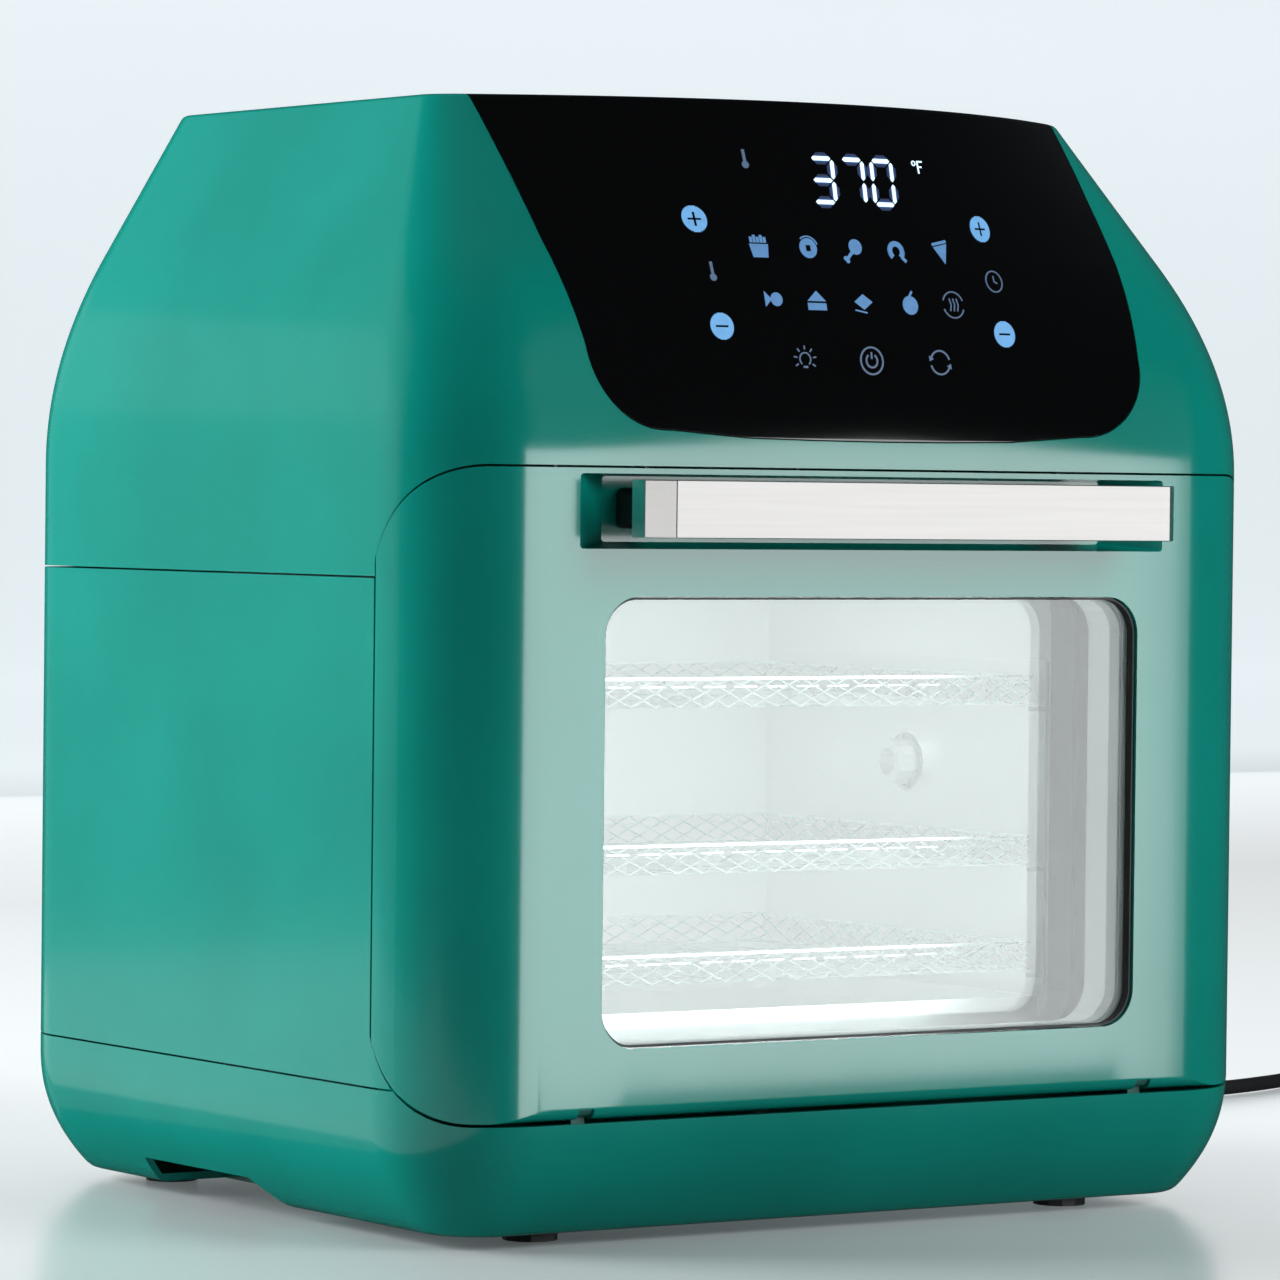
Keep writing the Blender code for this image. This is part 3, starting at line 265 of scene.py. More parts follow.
# -------- mesh helpers
def mesh_object(name, bm, finish, angle=35.0):
    """A piece from a bmesh laid out from the door's front face, moved into the row frame."""
    bmesh.ops.remove_doubles(bm, verts=bm.verts, dist=1e-7)
    bmesh.ops.recalc_face_normals(bm, faces=bm.faces)
    bmesh.ops.translate(bm, verts=bm.verts, vec=(0.0, FRONT, 0.0))
    mesh = bpy.data.meshes.new(name)
    bm.to_mesh(mesh)
    bm.free()
    mesh.shade_smooth()
    mesh.set_sharp_from_angle(angle=math.radians(angle))
    obj = bpy.data.objects.new(name, mesh)
    bpy.context.scene.collection.objects.link(obj)
    if finish:
        mesh.materials.append(MATERIALS[finish])
    return obj


def cut(obj, bm, operation="DIFFERENCE"):
    """A Boolean that is applied at once, so that no cutter is left in the scene."""
    guide = mesh_object("cutter", bm, None)
    modifier = obj.modifiers.new("cut", "BOOLEAN")
    modifier.operation = operation
    modifier.solver = "EXACT"
    modifier.object = guide
    graph = bpy.context.evaluated_depsgraph_get()
    made = bpy.data.meshes.new_from_object(obj.evaluated_get(graph))
    obj.modifiers.clear()
    obj.data = made
    bpy.data.objects.remove(guide, do_unlink=True)


def soften(obj, width, segments=2, angle=32.0):
    """Round the edges, then weight the normals so that flat faces stay flat."""
    bm = bmesh.new()
    bm.from_mesh(obj.data)
    bmesh.ops.remove_doubles(bm, verts=bm.verts, dist=4e-5)
    bmesh.ops.dissolve_degenerate(bm, edges=bm.edges, dist=2e-5)
    bm.to_mesh(obj.data)
    bm.free()
    bevel = obj.modifiers.new("round_edges", "BEVEL")
    bevel.width = width
    bevel.segments = segments
    bevel.limit_method = "ANGLE"
    bevel.angle_limit = math.radians(angle)
    obj.data.shade_smooth()
    weighted = obj.modifiers.new("weighted_normals", "WEIGHTED_NORMAL")
    weighted.keep_sharp = False
    weighted.weight = 80
    return obj


def place(obj, body, slot, *nodes):
    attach(obj, body)
    if nodes:
        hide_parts(*nodes)
    return obj


def on_axis(axis, u, v, along):
    if axis == "X":
        return (along, u, v)
    if axis == "Y":
        return (u, along, v)
    return (u, v, along)


def add_walls(bm, lower, upper):
    for i in range(len(lower)):
        j = (i + 1) % len(lower)
        bm.faces.new((lower[i], lower[j], upper[j], upper[i]))


def add_loft(bm, rings):
    rows = [[bm.verts.new(point) for point in ring] for ring in rings]
    for lower, upper in zip(rows, rows[1:]):
        add_walls(bm, lower, upper)
    bm.faces.new(list(reversed(rows[0])))
    bm.faces.new(rows[-1])


def add_prism(bm, outline, axis, start, end):
    add_loft(bm, [[on_axis(axis, u, v, along) for u, v in outline] for along in (start, end)])


def prism(outline, axis, start, end):
    bm = bmesh.new()
    add_prism(bm, outline, axis, start, end)
    return bm


def add_box(bm, low, high):
    middle = [(a + b) / 2 for a, b in zip(low, high)]
    size = [b - a for a, b in zip(low, high)]
    bmesh.ops.create_cube(bm, size=1.0, matrix=Matrix.Translation(middle) @ Matrix.Diagonal((*size, 1.0)))


def both_sides(near, far):
    """The two spans along X, left and right, between two distances from the middle."""
    return (-far, -near), (near, far)


def circle(centre, radius, steps=32):
    turns = (2 * math.pi * i / steps for i in range(steps))
    return [(centre[0] + radius * math.cos(a), centre[1] + radius * math.sin(a)) for a in turns]


def quarter(centre, radius, start_deg, steps):
    angles = (math.radians(start_deg + 90 * i / steps) for i in range(steps + 1))
    return [(centre[0] + radius * math.cos(a), centre[1] + radius * math.sin(a)) for a in angles]


def rounded(half, low, high, radius_low, radius_high=None, steps=14):
    top = radius_low if radius_high is None else radius_high
    return (
        quarter((half - radius_low, low + radius_low), radius_low, -90, steps)
        + quarter((half - top, high - top), top, 0, steps)
        + quarter((top - half, high - top), top, 90, steps)
        + quarter((radius_low - half, low + radius_low), radius_low, 180, steps)
    )


def add_turned(bm, profile, centre, axis="Z", steps=48):
    rows = []
    for radius, along in profile:
        rows.append([bm.verts.new(on_axis(axis, u, v, along)) for u, v in circle(centre, radius, steps)])
    for lower, upper in zip(rows, rows[1:] + rows[:1]):
        add_walls(bm, lower, upper)


# -------- the oven's outer form
FRONT_STEPS = 16
CORNER_STEPS = 26
REAR_STEPS = 16


def mix(a, b, share):
    return [(p[0] + (q[0] - p[0]) * share, p[1] + (q[1] - p[1]) * share) for p, q in zip(a, b)]


def rear_corner(half, rear, radius):
    return quarter((half - radius, rear - radius), radius, 0, REAR_STEPS)


def flat_plan(half, front, rear, radius, rear_radius):
    straight = [((half - radius) * i / FRONT_STEPS, front) for i in range(FRONT_STEPS + 1)]
    angles = [math.pi / 2 * i / CORNER_STEPS for i in range(1, CORNER_STEPS + 1)]
    corner = [(half - radius + radius * math.sin(a), front + radius - radius * math.cos(a)) for a in angles]
    return straight + corner + rear_corner(half, rear, rear_radius)


def bowed_plan(half, front, rear, bow_half, bow, side_start, rear_radius):
    shares = [i / FRONT_STEPS for i in range(FRONT_STEPS + 1)]
    front_line = [(bow_half * s, front + bow * s * s) for s in shares]
    p0 = Vector(front_line[-1])
    p1 = Vector((half, front + bow + 2 * bow / bow_half * (half - bow_half)))
    p2 = Vector((half, side_start))
    steps = [i / CORNER_STEPS for i in range(1, CORNER_STEPS + 1)]
    corner = [tuple(p0 * (1 - t) ** 2 + p1 * 2 * t * (1 - t) + p2 * t * t) for t in steps]
    return front_line + corner + rear_corner(half, rear, rear_radius)


def lean(z):
    rise = z - TAPER_START
    if rise <= 0:
        return 0.0
    slope = 1 / (HEIGHT - TAPER_START - TAPER_ARC / 2)
    if rise < TAPER_ARC:
        return slope * rise * rise / (2 * TAPER_ARC)
    return slope * (rise - TAPER_ARC / 2)


def plan(z, inset=0.0):
    side = flat_plan(WIDTH / 2 - inset, inset, DEPTH - inset, FACE_CORNER - inset, REAR_CORNER - inset)
    half = side
    if z > TAPER_START:
        top = bowed_plan(0.1215 - inset, 0.0260 + inset, 0.2400 - inset, 0.1110 - inset,
                         0.0370, 0.0780, 0.0180 - inset)
        half = mix(side, top, lean(z))
    elif z < TUCK_START:
        foot = flat_plan(0.1420 - inset, 0.0170 + inset, 0.2630 - inset, 0.0190 - inset, 0.0230 - inset)
        half = mix(side, foot, ((TUCK_START - z) / (TUCK_START - BASE_BOTTOM)) ** TUCK_POWER)
    return half + [(-x, y) for x, y in reversed(half) if x > 1e-9]


def body_loft(levels, inset=0.0):
    """A loft through levels; a level is a height, or a height and its own extra inset."""
    bm = bmesh.new()
    rings = []
    for level in levels:
        z, extra = level if isinstance(level, tuple) else (level, 0.0)
        rings.append([(x, y, z) for x, y in plan(z, inset + extra)])
    add_loft(bm, rings)
    return bm


def steps_between(low, high, count):
    return [low + (high - low) * i / count for i in range(count + 1)]


TOP_EDGE = [(HEIGHT - 0.0012, 0.0), (HEIGHT - 0.0004, 0.0003), (HEIGHT, 0.0010)]
TAPER_LEVELS = steps_between(TAPER_START, TAPER_START + TAPER_ARC, 28) + [0.318, 0.334]


def face_depth(x):
    """How far back the front face is at a place across it."""
    across = min(abs(x) - (WIDTH / 2 - FACE_CORNER), FACE_CORNER)
    return FACE_CORNER - math.sqrt(FACE_CORNER ** 2 - across ** 2) if across > 0 else 0.0


def wrapped(along):
    """The X of a point a given way along the front face and round its corner."""
    start = WIDTH / 2 - FACE_CORNER
    turn = (abs(along) - start) / FACE_CORNER
    if turn <= 0:
        return along
    x = start + FACE_CORNER * math.sin(min(turn, math.pi / 2))
    return math.copysign(x + FACE_CORNER * max(turn - math.pi / 2, 0.0), along)


def door_outline(grow):
    """The door's outline, drawn on the flattened face and then wrapped round its corners."""
    half = WIDTH / 2 - FACE_CORNER + FACE_CORNER * math.pi / 2 + 0.001
    flat = rounded(half + grow, DOOR_BOTTOM - grow, DOOR_TOP + grow,
                   DOOR_RADIUS_BOTTOM + grow, DOOR_RADIUS_TOP + grow, steps=40)
    return [(wrapped(along), z) for along, z in flat]


PANEL_BOTTOM = ((0.0, 0.2462), (0.0250, 0.24635), (0.0500, 0.2468), (0.0780, 0.2488))
PANEL_CORNER = (0.0800, 0.2740)
PANEL_RADIUS = 0.0252


def panel_outline(grow=0.0):
    right = [(x, z - grow) for x, z in PANEL_BOTTOM]
    right += quarter(PANEL_CORNER, PANEL_RADIUS + grow, -90, 24)[1:]
    right += [(0.1095 + grow, 0.3060), (0.1125 + grow, HEIGHT + 0.004)]
    return right + [(-x, z) for x, z in reversed(right) if x > 1e-9]


# -------- mains lead
def eased(value, stages, at):
    for low, high, target in stages:
        if at <= low:
            return value
        share = min((at - low) / (high - low), 1.0)
        value += (target - value) * share * share * (3 - 2 * share)
    return value


def coil_point(turns):
    radius = eased(COIL_RADIUS, RADIUS_STAGES, turns)
    height = eased(FLOOR_Z, HEIGHT_STAGES, turns)
    angle = COIL_START - 2 * math.pi * turns
    x, y = COIL_CENTRE
    return Vector((x + radius * math.cos(angle), y + radius * math.sin(angle), height))


def smooth_route(points, pieces=6):
    """A Catmull-Rom curve through the points."""
    knots = [Vector(p) for p in points]
    knots = [knots[0] * 2 - knots[1]] + knots + [knots[-1] * 2 - knots[-2]]
    fine = []
    for p0, p1, p2, p3 in zip(knots, knots[1:], knots[2:], knots[3:]):
        for i in range(pieces):
            t = i / pieces
            a = 2 * p1 + (p2 - p0) * t
            b = (2 * p0 - 5 * p1 + 4 * p2 - p3) * t * t
            c = (3 * p1 - p0 - 3 * p2 + p3) * t ** 3
            fine.append((a + b + c) / 2)
    return fine + [knots[-2]]


def make_plug(leave):
    """A three-blade moulded plug with a ribbed neck and finger grooves."""
    bm = bmesh.new()
    stations = [(0.0000, 0.0036, 0.0036)]
    for i in range(5):
        for ahead, half in ((0.0, 0.0040), (0.0016, 0.0041), (0.0018, 0.0035), (0.0024, 0.0035)):
            half += 0.0003 * i
            stations.append((0.0006 + 0.0026 * i + ahead, half, half))
    stations += [(0.0140, 0.0058, 0.0056), (0.0160, 0.0100, 0.0074), (0.0172, 0.0110, 0.0079),
                 (0.0230, 0.0112, 0.0080), (0.0250, 0.0106, 0.0075), (0.0280, 0.0106, 0.0075),
                 (0.0300, 0.0117, 0.0080), (0.0370, 0.0119, 0.0080), (0.0380, 0.0114, 0.0075)]
    rings = []
    for along, half, high in stations:
        radius = min(half, high) * 0.55
        rings.append([(along, u, v) for u, v in rounded(half, -high, high, radius, steps=6)])
    add_loft(bm, rings)
    turn = Matrix.Rotation(COIL_START - math.pi / 2, 4, "Z")
    spot = Matrix.Translation(leave) @ turn
    bm.transform(spot)
    plug = mesh_object("mains_plug", bm, "rubber")
    place(plug, "root", "rubber", "plug")

    bm = bmesh.new()
    for left, right in both_sides(0.0056, 0.0071):
        add_box(bm, (0.0372, left, -0.0005), (0.0540, right, 0.0057))
    add_prism(bm, circle((0.0, -0.0045), 0.0021, 24), "X", 0.0372, 0.0555)
    bm.transform(spot)
    blades = mesh_object("plug_blades", bm, "wire")
    place(soften(blades, 0.0003), "root", "stainless")
    return plug, blades


def make_relief():
    """The tapered, slotted sleeve where the lead leaves the base."""
    x, _, z = CORD_ROUTE[0]
    bm = bmesh.new()
    profile = [(0.0010, 0.2610), (0.0066, 0.2610), (0.0066, 0.2716), (0.0061, 0.2722)]
    for i in range(6):
        start, radius = 0.2730 + 0.0037 * i, 0.0058 - 0.0003 * i
        profile += [(radius, start), (radius - 0.0001, start + 0.0020),
                    (radius - 0.0012, start + 0.0023), (radius - 0.0012, start + 0.0034)]
    profile += [(0.0040, 0.2952), (0.0038, 0.2960), (0.0010, 0.2962)]
    add_turned(bm, profile, (x, z), "Y")
    relief = mesh_object("cord_sleeve", bm, "rubber")
    return place(relief, "root", "rubber", "strain_relief")


def make_cord():
    heading = Vector((math.sin(COIL_START), -math.cos(COIL_START), 0.0))
    entry, leave = coil_point(0.0), coil_point(COIL_TURNS)
    # the lead comes in along the tangent, winds, and leaves along the tangent
    points = smooth_route(list(CORD_ROUTE) + [entry - heading * COIL_LEAD_IN])
    points += [entry - heading * (COIL_LEAD_IN - 0.0041 * i) for i in range(1, 6)]
    count = int(COIL_TURNS * 60)
    points += [coil_point(COIL_TURNS * i / count) for i in range(count + 1)]
    points += [leave + heading * s for s in (0.006, 0.012, 0.018, 0.024, PLUG_REACH + 0.0010)]
    points = [Vector((p.x, p.y + FRONT, p.z)) for p in points]
    curve = bpy.data.curves.new("mains_lead", "CURVE")
    curve.dimensions = "3D"
    curve.bevel_depth = CORD_DIAMETER / 2
    curve.bevel_resolution = 6
    curve.use_fill_caps = True
    spline = curve.splines.new("POLY")
    spline.points.add(len(points) - 1)
    for target, point in zip(spline.points, points):
        target.co = (*point, 1.0)
    curve.materials.append(MATERIALS["rubber"])
    lead = bpy.data.objects.new("mains_lead", curve)
    bpy.context.scene.collection.objects.link(lead)
    place(lead, "root", "rubber", "power_cord", "cord_coil", "cord_end")

    plug, blades = make_plug(leave + heading * PLUG_REACH)
    relief = make_relief()


# -------- outer shells
def make_hood():
    levels = [HOOD_BOTTOM, 0.2200] + TAPER_LEVELS
    hood = mesh_object("hood", body_loft(levels + TOP_EDGE), "green")
    inner = [HOOD_BOTTOM - 0.01, 0.2200] + TAPER_LEVELS + [HEIGHT, HEIGHT + 0.01]
    cut(hood, body_loft(inner, WALL))
    cuts = bmesh.new()
    add_prism(cuts, door_outline(SEAM_TOP), "Y", -0.02, BODY_FRONT)
    add_prism(cuts, panel_outline(grow=0.0004), "Y", -0.02, 0.0705)
    cut(hood, cuts)
    place(soften(hood, 0.0004), "root", "green_plastic", "hood_shell")


def make_base():
    tuck = steps_between(0.0072, TUCK_START, 22)
    bottom = [(BASE_BOTTOM, 0.0016), (0.0045, 0.0006), (0.0055, 0.0001)]
    base = mesh_object("base", body_loft(bottom + tuck + [BASE_TOP]), "green")
    cut(base, body_loft([BASE_BOTTOM + WALL] + tuck[1:] + [BASE_TOP + 0.01], WALL))
    cuts = bmesh.new()
    add_prism(cuts, door_outline(SEAM_BOTTOM), "Y", -0.02, BODY_FRONT)
    low, high = BASE_BOTTOM - 0.004, 0.0125
    notch = [(0.1100, low), (0.2000, low), (0.1960, high), (0.1290, high), (0.1160, BASE_BOTTOM)]
    for span in both_sides(0.118, 0.165):
        add_prism(cuts, notch, "X", *span)
    add_prism(cuts, circle((CORD_ROUTE[0][0], CORD_ROUTE[0][2]), 0.0070), "Y", 0.245, 0.285)
    cut(base, cuts)
    place(soften(base, 0.0004), "root", "green_plastic", "base_shell")


REAR_SEAM_X = 0.1006     # where a side wall meets the rear cover
SIDE_FIRST = FRONT_STEPS + 19    # the point of the plan, in the front corner, where a side wall begins
DOOR_CLEARANCE = 0.0003


def make_sides():
    """The side walls, each with a toe that fills the corner under the door's round outline."""
    outer = flat_plan(WIDTH / 2, 0.0, DEPTH, FACE_CORNER, REAR_CORNER)
    inner = flat_plan(WIDTH / 2 - WALL, WALL, DEPTH - WALL, FACE_CORNER - WALL, REAR_CORNER - WALL)
    end = [(REAR_SEAM_X, DEPTH), (REAR_SEAM_X, DEPTH - WALL)]
    outline = outer[SIDE_FIRST:] + end + inner[SIDE_FIRST:][::-1]
    low, high = BASE_TOP + PANEL_SEAM, HOOD_BOTTOM - PANEL_SEAM
    for name, side in (("left", -1), ("right", 1)):
        bm = prism([(side * x, y) for x, y in outline], "Z", low, high)
        panel = mesh_object(f"side_wall_{name}", bm, "green")
        cut(panel, prism(door_outline(SEAM_BOTTOM), "Y", -0.02, BODY_FRONT + DOOR_CLEARANCE))
        place(soften(panel, 0.0004), "root", "green_plastic", f"side_panel_{name}")


COVER_HALF = 0.1000
VENT_ROWS, VENT_LOW, VENT_PITCH, VENT_HEIGHT = 6, 0.1180, 0.0095, 0.0042
VENT_SPAN = (0.0150, 0.0850)
SCREW_PLACES = [(x, z) for x in (-0.0930, 0.0930) for z in (0.0580, 0.1940)]
SCREW_RADIUS, SCREW_HEIGHT = 0.0036, 0.0016
CROSS_ARM, CROSS_HALF = 0.0020, 0.0004


def make_rear():
    """The rear cover with its vents, and the four cross-head screws that hold it."""
    bm = bmesh.new()
    low, high = BASE_TOP + PANEL_SEAM, HOOD_BOTTOM - PANEL_SEAM
    add_box(bm, (-COVER_HALF, DEPTH - WALL, low), (COVER_HALF, DEPTH, high))
    cover = mesh_object("rear_wall", bm, "green")
    slots = bmesh.new()
    for row in range(VENT_ROWS):
        low = VENT_LOW + VENT_PITCH * row
        for left, right in both_sides(*VENT_SPAN):
            outline = rounded((right - left) / 2, low, low + VENT_HEIGHT, 0.00205, steps=5)
            outline = [(u + (left + right) / 2, v) for u, v in outline]
            add_prism(slots, outline, "Y", DEPTH - 0.01, DEPTH + 0.01)
    cut(cover, slots)
    place(soften(cover, 0.0004), "root", "green_plastic", "rear_cover")

    tip = ((CROSS_ARM, -CROSS_HALF), (CROSS_ARM, CROSS_HALF), (CROSS_HALF, CROSS_HALF))
    quarters = [[(u, v), (-v, u), (-u, -v), (v, -u)] for u, v in tip]
    slot = [turned[i] for i in range(4) for turned in quarters]
    bm, cross = bmesh.new(), bmesh.new()
    for x, z in SCREW_PLACES:
        add_prism(bm, circle((x, z), SCREW_RADIUS, 24), "Y", DEPTH - 0.0004, DEPTH + SCREW_HEIGHT)
        add_prism(cross, [(x + u, z + v) for u, v in slot], "Y", DEPTH + 0.0006, DEPTH + 0.0030)
    heads = mesh_object("rear_screws", bm, "steel")
    cut(heads, cross)
    place(soften(heads, 0.0003), "root", "stainless")


def make_top():
    low, high = HEIGHT - 0.0030, HEIGHT - 0.0006
    bm = bmesh.new()
    add_loft(bm, [[(x, y, z) for x, y in plan(HEIGHT, 0.0034)] for z in (low, high)])
    cover = mesh_object("top_plate", bm, "green")
    slots = bmesh.new()
    for row in range(7):
        front = 0.1450 + 0.0100 * row
        outline = rounded(0.0600, front, front + 0.0045, 0.0022, steps=5)
        add_prism(slots, outline, "Z", low - 0.01, high + 0.01)
    cut(cover, slots)
    place(soften(cover, 0.0004), "root", "green_plastic", "top_cover")


def make_panel():
    levels = [z for z in TAPER_LEVELS if z > 0.2410]
    panel = mesh_object("touch_panel", body_loft([0.2400] + levels + TOP_EDGE), "panel")
    cut(panel, body_loft([0.2390] + levels + [HEIGHT, HEIGHT + 0.01], PANEL_THICKNESS))
    cut(panel, prism(panel_outline(), "Y", -0.02, 0.0700), "INTERSECT")
    place(soften(panel, 0.0003), "root", "black_gloss", "control_panel")


# -------- door
def swing_clear(outline, y):
    """The upper part of an outline, lowered so that this depth of the door swings out under the hood."""
    middle = (DOOR_BOTTOM + DOOR_TOP) / 2
    lowered = []
    for x, z in outline:
        start = max(face_depth(x), HINGE_Y)
        if z > middle:
            spare = (max(y, start) - HINGE_Y) ** 2 - (start - HINGE_Y) ** 2
            z = HINGE_Z + math.sqrt((z - HINGE_Z) ** 2 - spare)
        lowered.append((x, z))
    return lowered


RECESS_FACE = (0.1135, 0.2122, 0.2353)
RECESS_FLOOR = (0.0950, 0.2145, 0.2345)
RECESS_DEPTH = 0.0130
# hollows of the door: half width, low and high edges, corner radius, and the depths they span
HOLLOWS = (
    (0.1460, 0.0500, 0.2045, 0.0, 0.0090, 0.0600),
    (0.1072, 0.0565, 0.2025, 0.012, 0.0044, 0.0200),
    (WINDOW_HALF, WINDOW_LOW, WINDOW_HIGH, WINDOW_RADIUS, -0.0100, 0.0200),
)
SLOT_SPAN = (0.1035, 0.1091)
PIN_SPAN = (0.0995, 0.1125)
PIN_HOLE = 0.0018
STRIKE_HOLE = ((-0.0120, 0.0354, 0.2140), (0.0120, 0.0500, 0.2280))


def make_door():
    section = plan(HOOD_BOTTOM)
    bm = bmesh.new()
    add_loft(bm, [[(x, y, z) for x, y in section] for z in (DOOR_BOTTOM - 0.002, DOOR_TOP + 0.002)])
    door = mesh_object("door_front", bm, "green")
    keep = bmesh.new()
    depths = [-0.01, HINGE_Y] + steps_between(HINGE_Y, DOOR_BACK, 12)[1:]
    add_loft(keep, [[(x, y, z) for x, z in swing_clear(door_outline(0.0), y)] for y in depths])
    cut(door, keep, "INTERSECT")
    recess = bmesh.new()
    face = [(x, -0.002, z) for x, z in rounded(*RECESS_FACE, 0.0012, steps=4)]
    deep = [(x, RECESS_DEPTH, z) for x, z in rounded(*RECESS_FLOOR, 0.0012, steps=4)]
    add_loft(recess, [face, deep])
    cut(door, recess)
    for half, low, high, radius, front, back in HOLLOWS:
        hollow = bmesh.new()
        if radius:
            add_prism(hollow, rounded(half, low, high, radius), "Y", front, back)
        else:
            add_box(hollow, (-half, front, low), (half, back, high))
        cut(door, hollow)
    cuts = bmesh.new()
    angles = [math.pi / 2 * i / 10 for i in range(11)]
    arc = [(HINGE_Y - HINGE_Y * math.sin(a), HINGE_Z - HINGE_Y * math.cos(a)) for a in angles]
    fillet = [(-0.01, HINGE_Z)] + list(reversed(arc)) + [(HINGE_Y, 0.03), (-0.01, 0.03)]
    add_prism(cuts, fillet, "X", -0.17, 0.17)
    add_box(cuts, *STRIKE_HOLE)
    cut(door, cuts)
    slots = bmesh.new()
    slot = [(-0.01, 0.03), (HINGE_Y + 0.0041, 0.03), (HINGE_Y + 0.0041, HINGE_Z + 0.0036),
            (HINGE_SKIN, HINGE_Z + 0.0036), (HINGE_SKIN, HINGE_Z - 0.0006), (-0.01, HINGE_Z - 0.0006)]
    for span in both_sides(*SLOT_SPAN):
        add_prism(slots, slot, "X", *span)
    cut(door, slots)
    pins = bmesh.new()
    for span in both_sides(*PIN_SPAN):
        add_prism(pins, circle((HINGE_Y, HINGE_Z), PIN_HOLE), "X", *span)
    cut(door, pins)
    place(soften(door, 0.0005), "door", "green_plastic", "door_shell")


# outlines are half width, low and high edges and corner radius, then the depths they span
PANES = (
    ("front_pane", "outer_glass", (0.1068, 0.0569, 0.2021, 0.012), (0.0047, 0.0087)),
    ("rear_pane", "inner_glass", (0.1076, 0.0554, 0.2026, 0.012), (0.0273, 0.0313)),
)
# each flat ring: its outer and inner outlines, depths, material and edge round
RINGS = (
    ("window_trim", "window_gasket", (0.1012, 0.0613, 0.1977, 0.0117), (0.1006, 0.0619, 0.1971, 0.0112),
     (0.0012, 0.0044), "rubber", 0.0001),
    ("oven_seal", "door_seal", (0.1076, 0.0554, 0.2026, 0.0120), (0.1040, 0.0590, 0.1990, 0.0100),
     (0.0316, 0.0377), "silicone", 0.0007),
)


def make_window():
    for name, node, outline, depths in PANES:
        pane = mesh_object(name, prism(rounded(*outline), "Y", *depths), "glass")
        place(soften(pane, 0.0005), "door", "glass", node)
    for name, node, outer, inner, (front, back), material, edge in RINGS:
        ring = mesh_object(name, prism(rounded(*outer), "Y", front, back), material)
        cut(ring, prism(rounded(*inner), "Y", front - 0.01, back + 0.01))
        place(soften(ring, edge), "door", material, node)


def make_handle():
    low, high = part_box("handle_bar")
    half, chamfer = high.x, 0.0070
    front, back = low.y - FRONT, high.y - FRONT
    outline = [(-half, back), (-half, front + chamfer), (chamfer - half, front),
               (half - chamfer, front), (half, front + chamfer), (half, back)]
    bar = mesh_object("handle_grip", prism(outline, "Z", low.z, high.z), "aluminium")
    notches = bmesh.new()
    for x in (-0.0500, 0.0, 0.0500):
        low_corner = (x - 0.0035, back - 0.0060, high.z - 0.0006)
        add_box(notches, low_corner, (x + 0.0035, back + 0.001, high.z + 0.001))
    cut(bar, notches)
    place(soften(bar, 0.0005, 3), "door", "satin_aluminium", "handle_bar")
    for name in ("handle_post_left", "handle_post_right"):
        a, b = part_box(name)
        bm = bmesh.new()
        outline = [(u + (a.x + b.x) / 2, v) for u, v in rounded((b.x - a.x) / 2, a.z, b.z, 0.0025, steps=6)]
        add_prism(bm, outline, "Y", a.y - FRONT, b.y - FRONT)
        post = mesh_object(name.replace("post", "stem"), bm, "black")
        place(soften(post, 0.0003), "door", "black_plastic", name)


# -------- racks
RIM = 0.0008             # thickness of the wire round a rack's top edge
STRAND = 0.0004          # width of a strand of the expanded mesh
DIAMOND_LONG = 0.0122
DIAMOND_SHORT = 0.0062
BOND_LONG = 0.0085       # the flat bonds of the first row, under the rim
BOND_DROP = 0.0026
WALL_SCALE = 0.75        # size of the diamonds in a rack's walls, against those of its floor


def add_strand(bm, a, b, width, height):
    """A flat bar between two points of a sheet, the sheet's face being horizontal."""
    a, b = Vector(a), Vector(b)
    along = (b - a).normalized()
    across = along.cross(Vector((0, 0, 1)))
    if across.length < 1e-6:
        across = Vector((1, 0, 0))
    across = across.normalized() * width / 2
    rise = across.cross(along).normalized() * height / 2
    ring = [across + rise, across - rise, -across - rise, -across + rise]
    add_loft(bm, [[p + q for q in ring] for p in (a, b)])


def diamond_strands(u_low, u_high, v_low, v_high, scale=1.0):
    """The strands of a diamond mesh that fill a rectangle, as pairs of points."""
    strands = []
    columns = max(round((u_high - u_low) / (DIAMOND_LONG * scale / 2)), 1)
    rows = max(round((v_high - v_low) / (DIAMOND_SHORT * scale / 2)), 1)
    du, dv = (u_high - u_low) / columns, (v_high - v_low) / rows
    for i in range(columns):
        for j in range(rows):
            u, v = u_low + du * i, v_low + dv * j
            ends = ((u, v), (u + du, v + dv)) if (i + j) % 2 == 0 else ((u, v + dv), (u + du, v))
            strands.append(ends)
    return strands


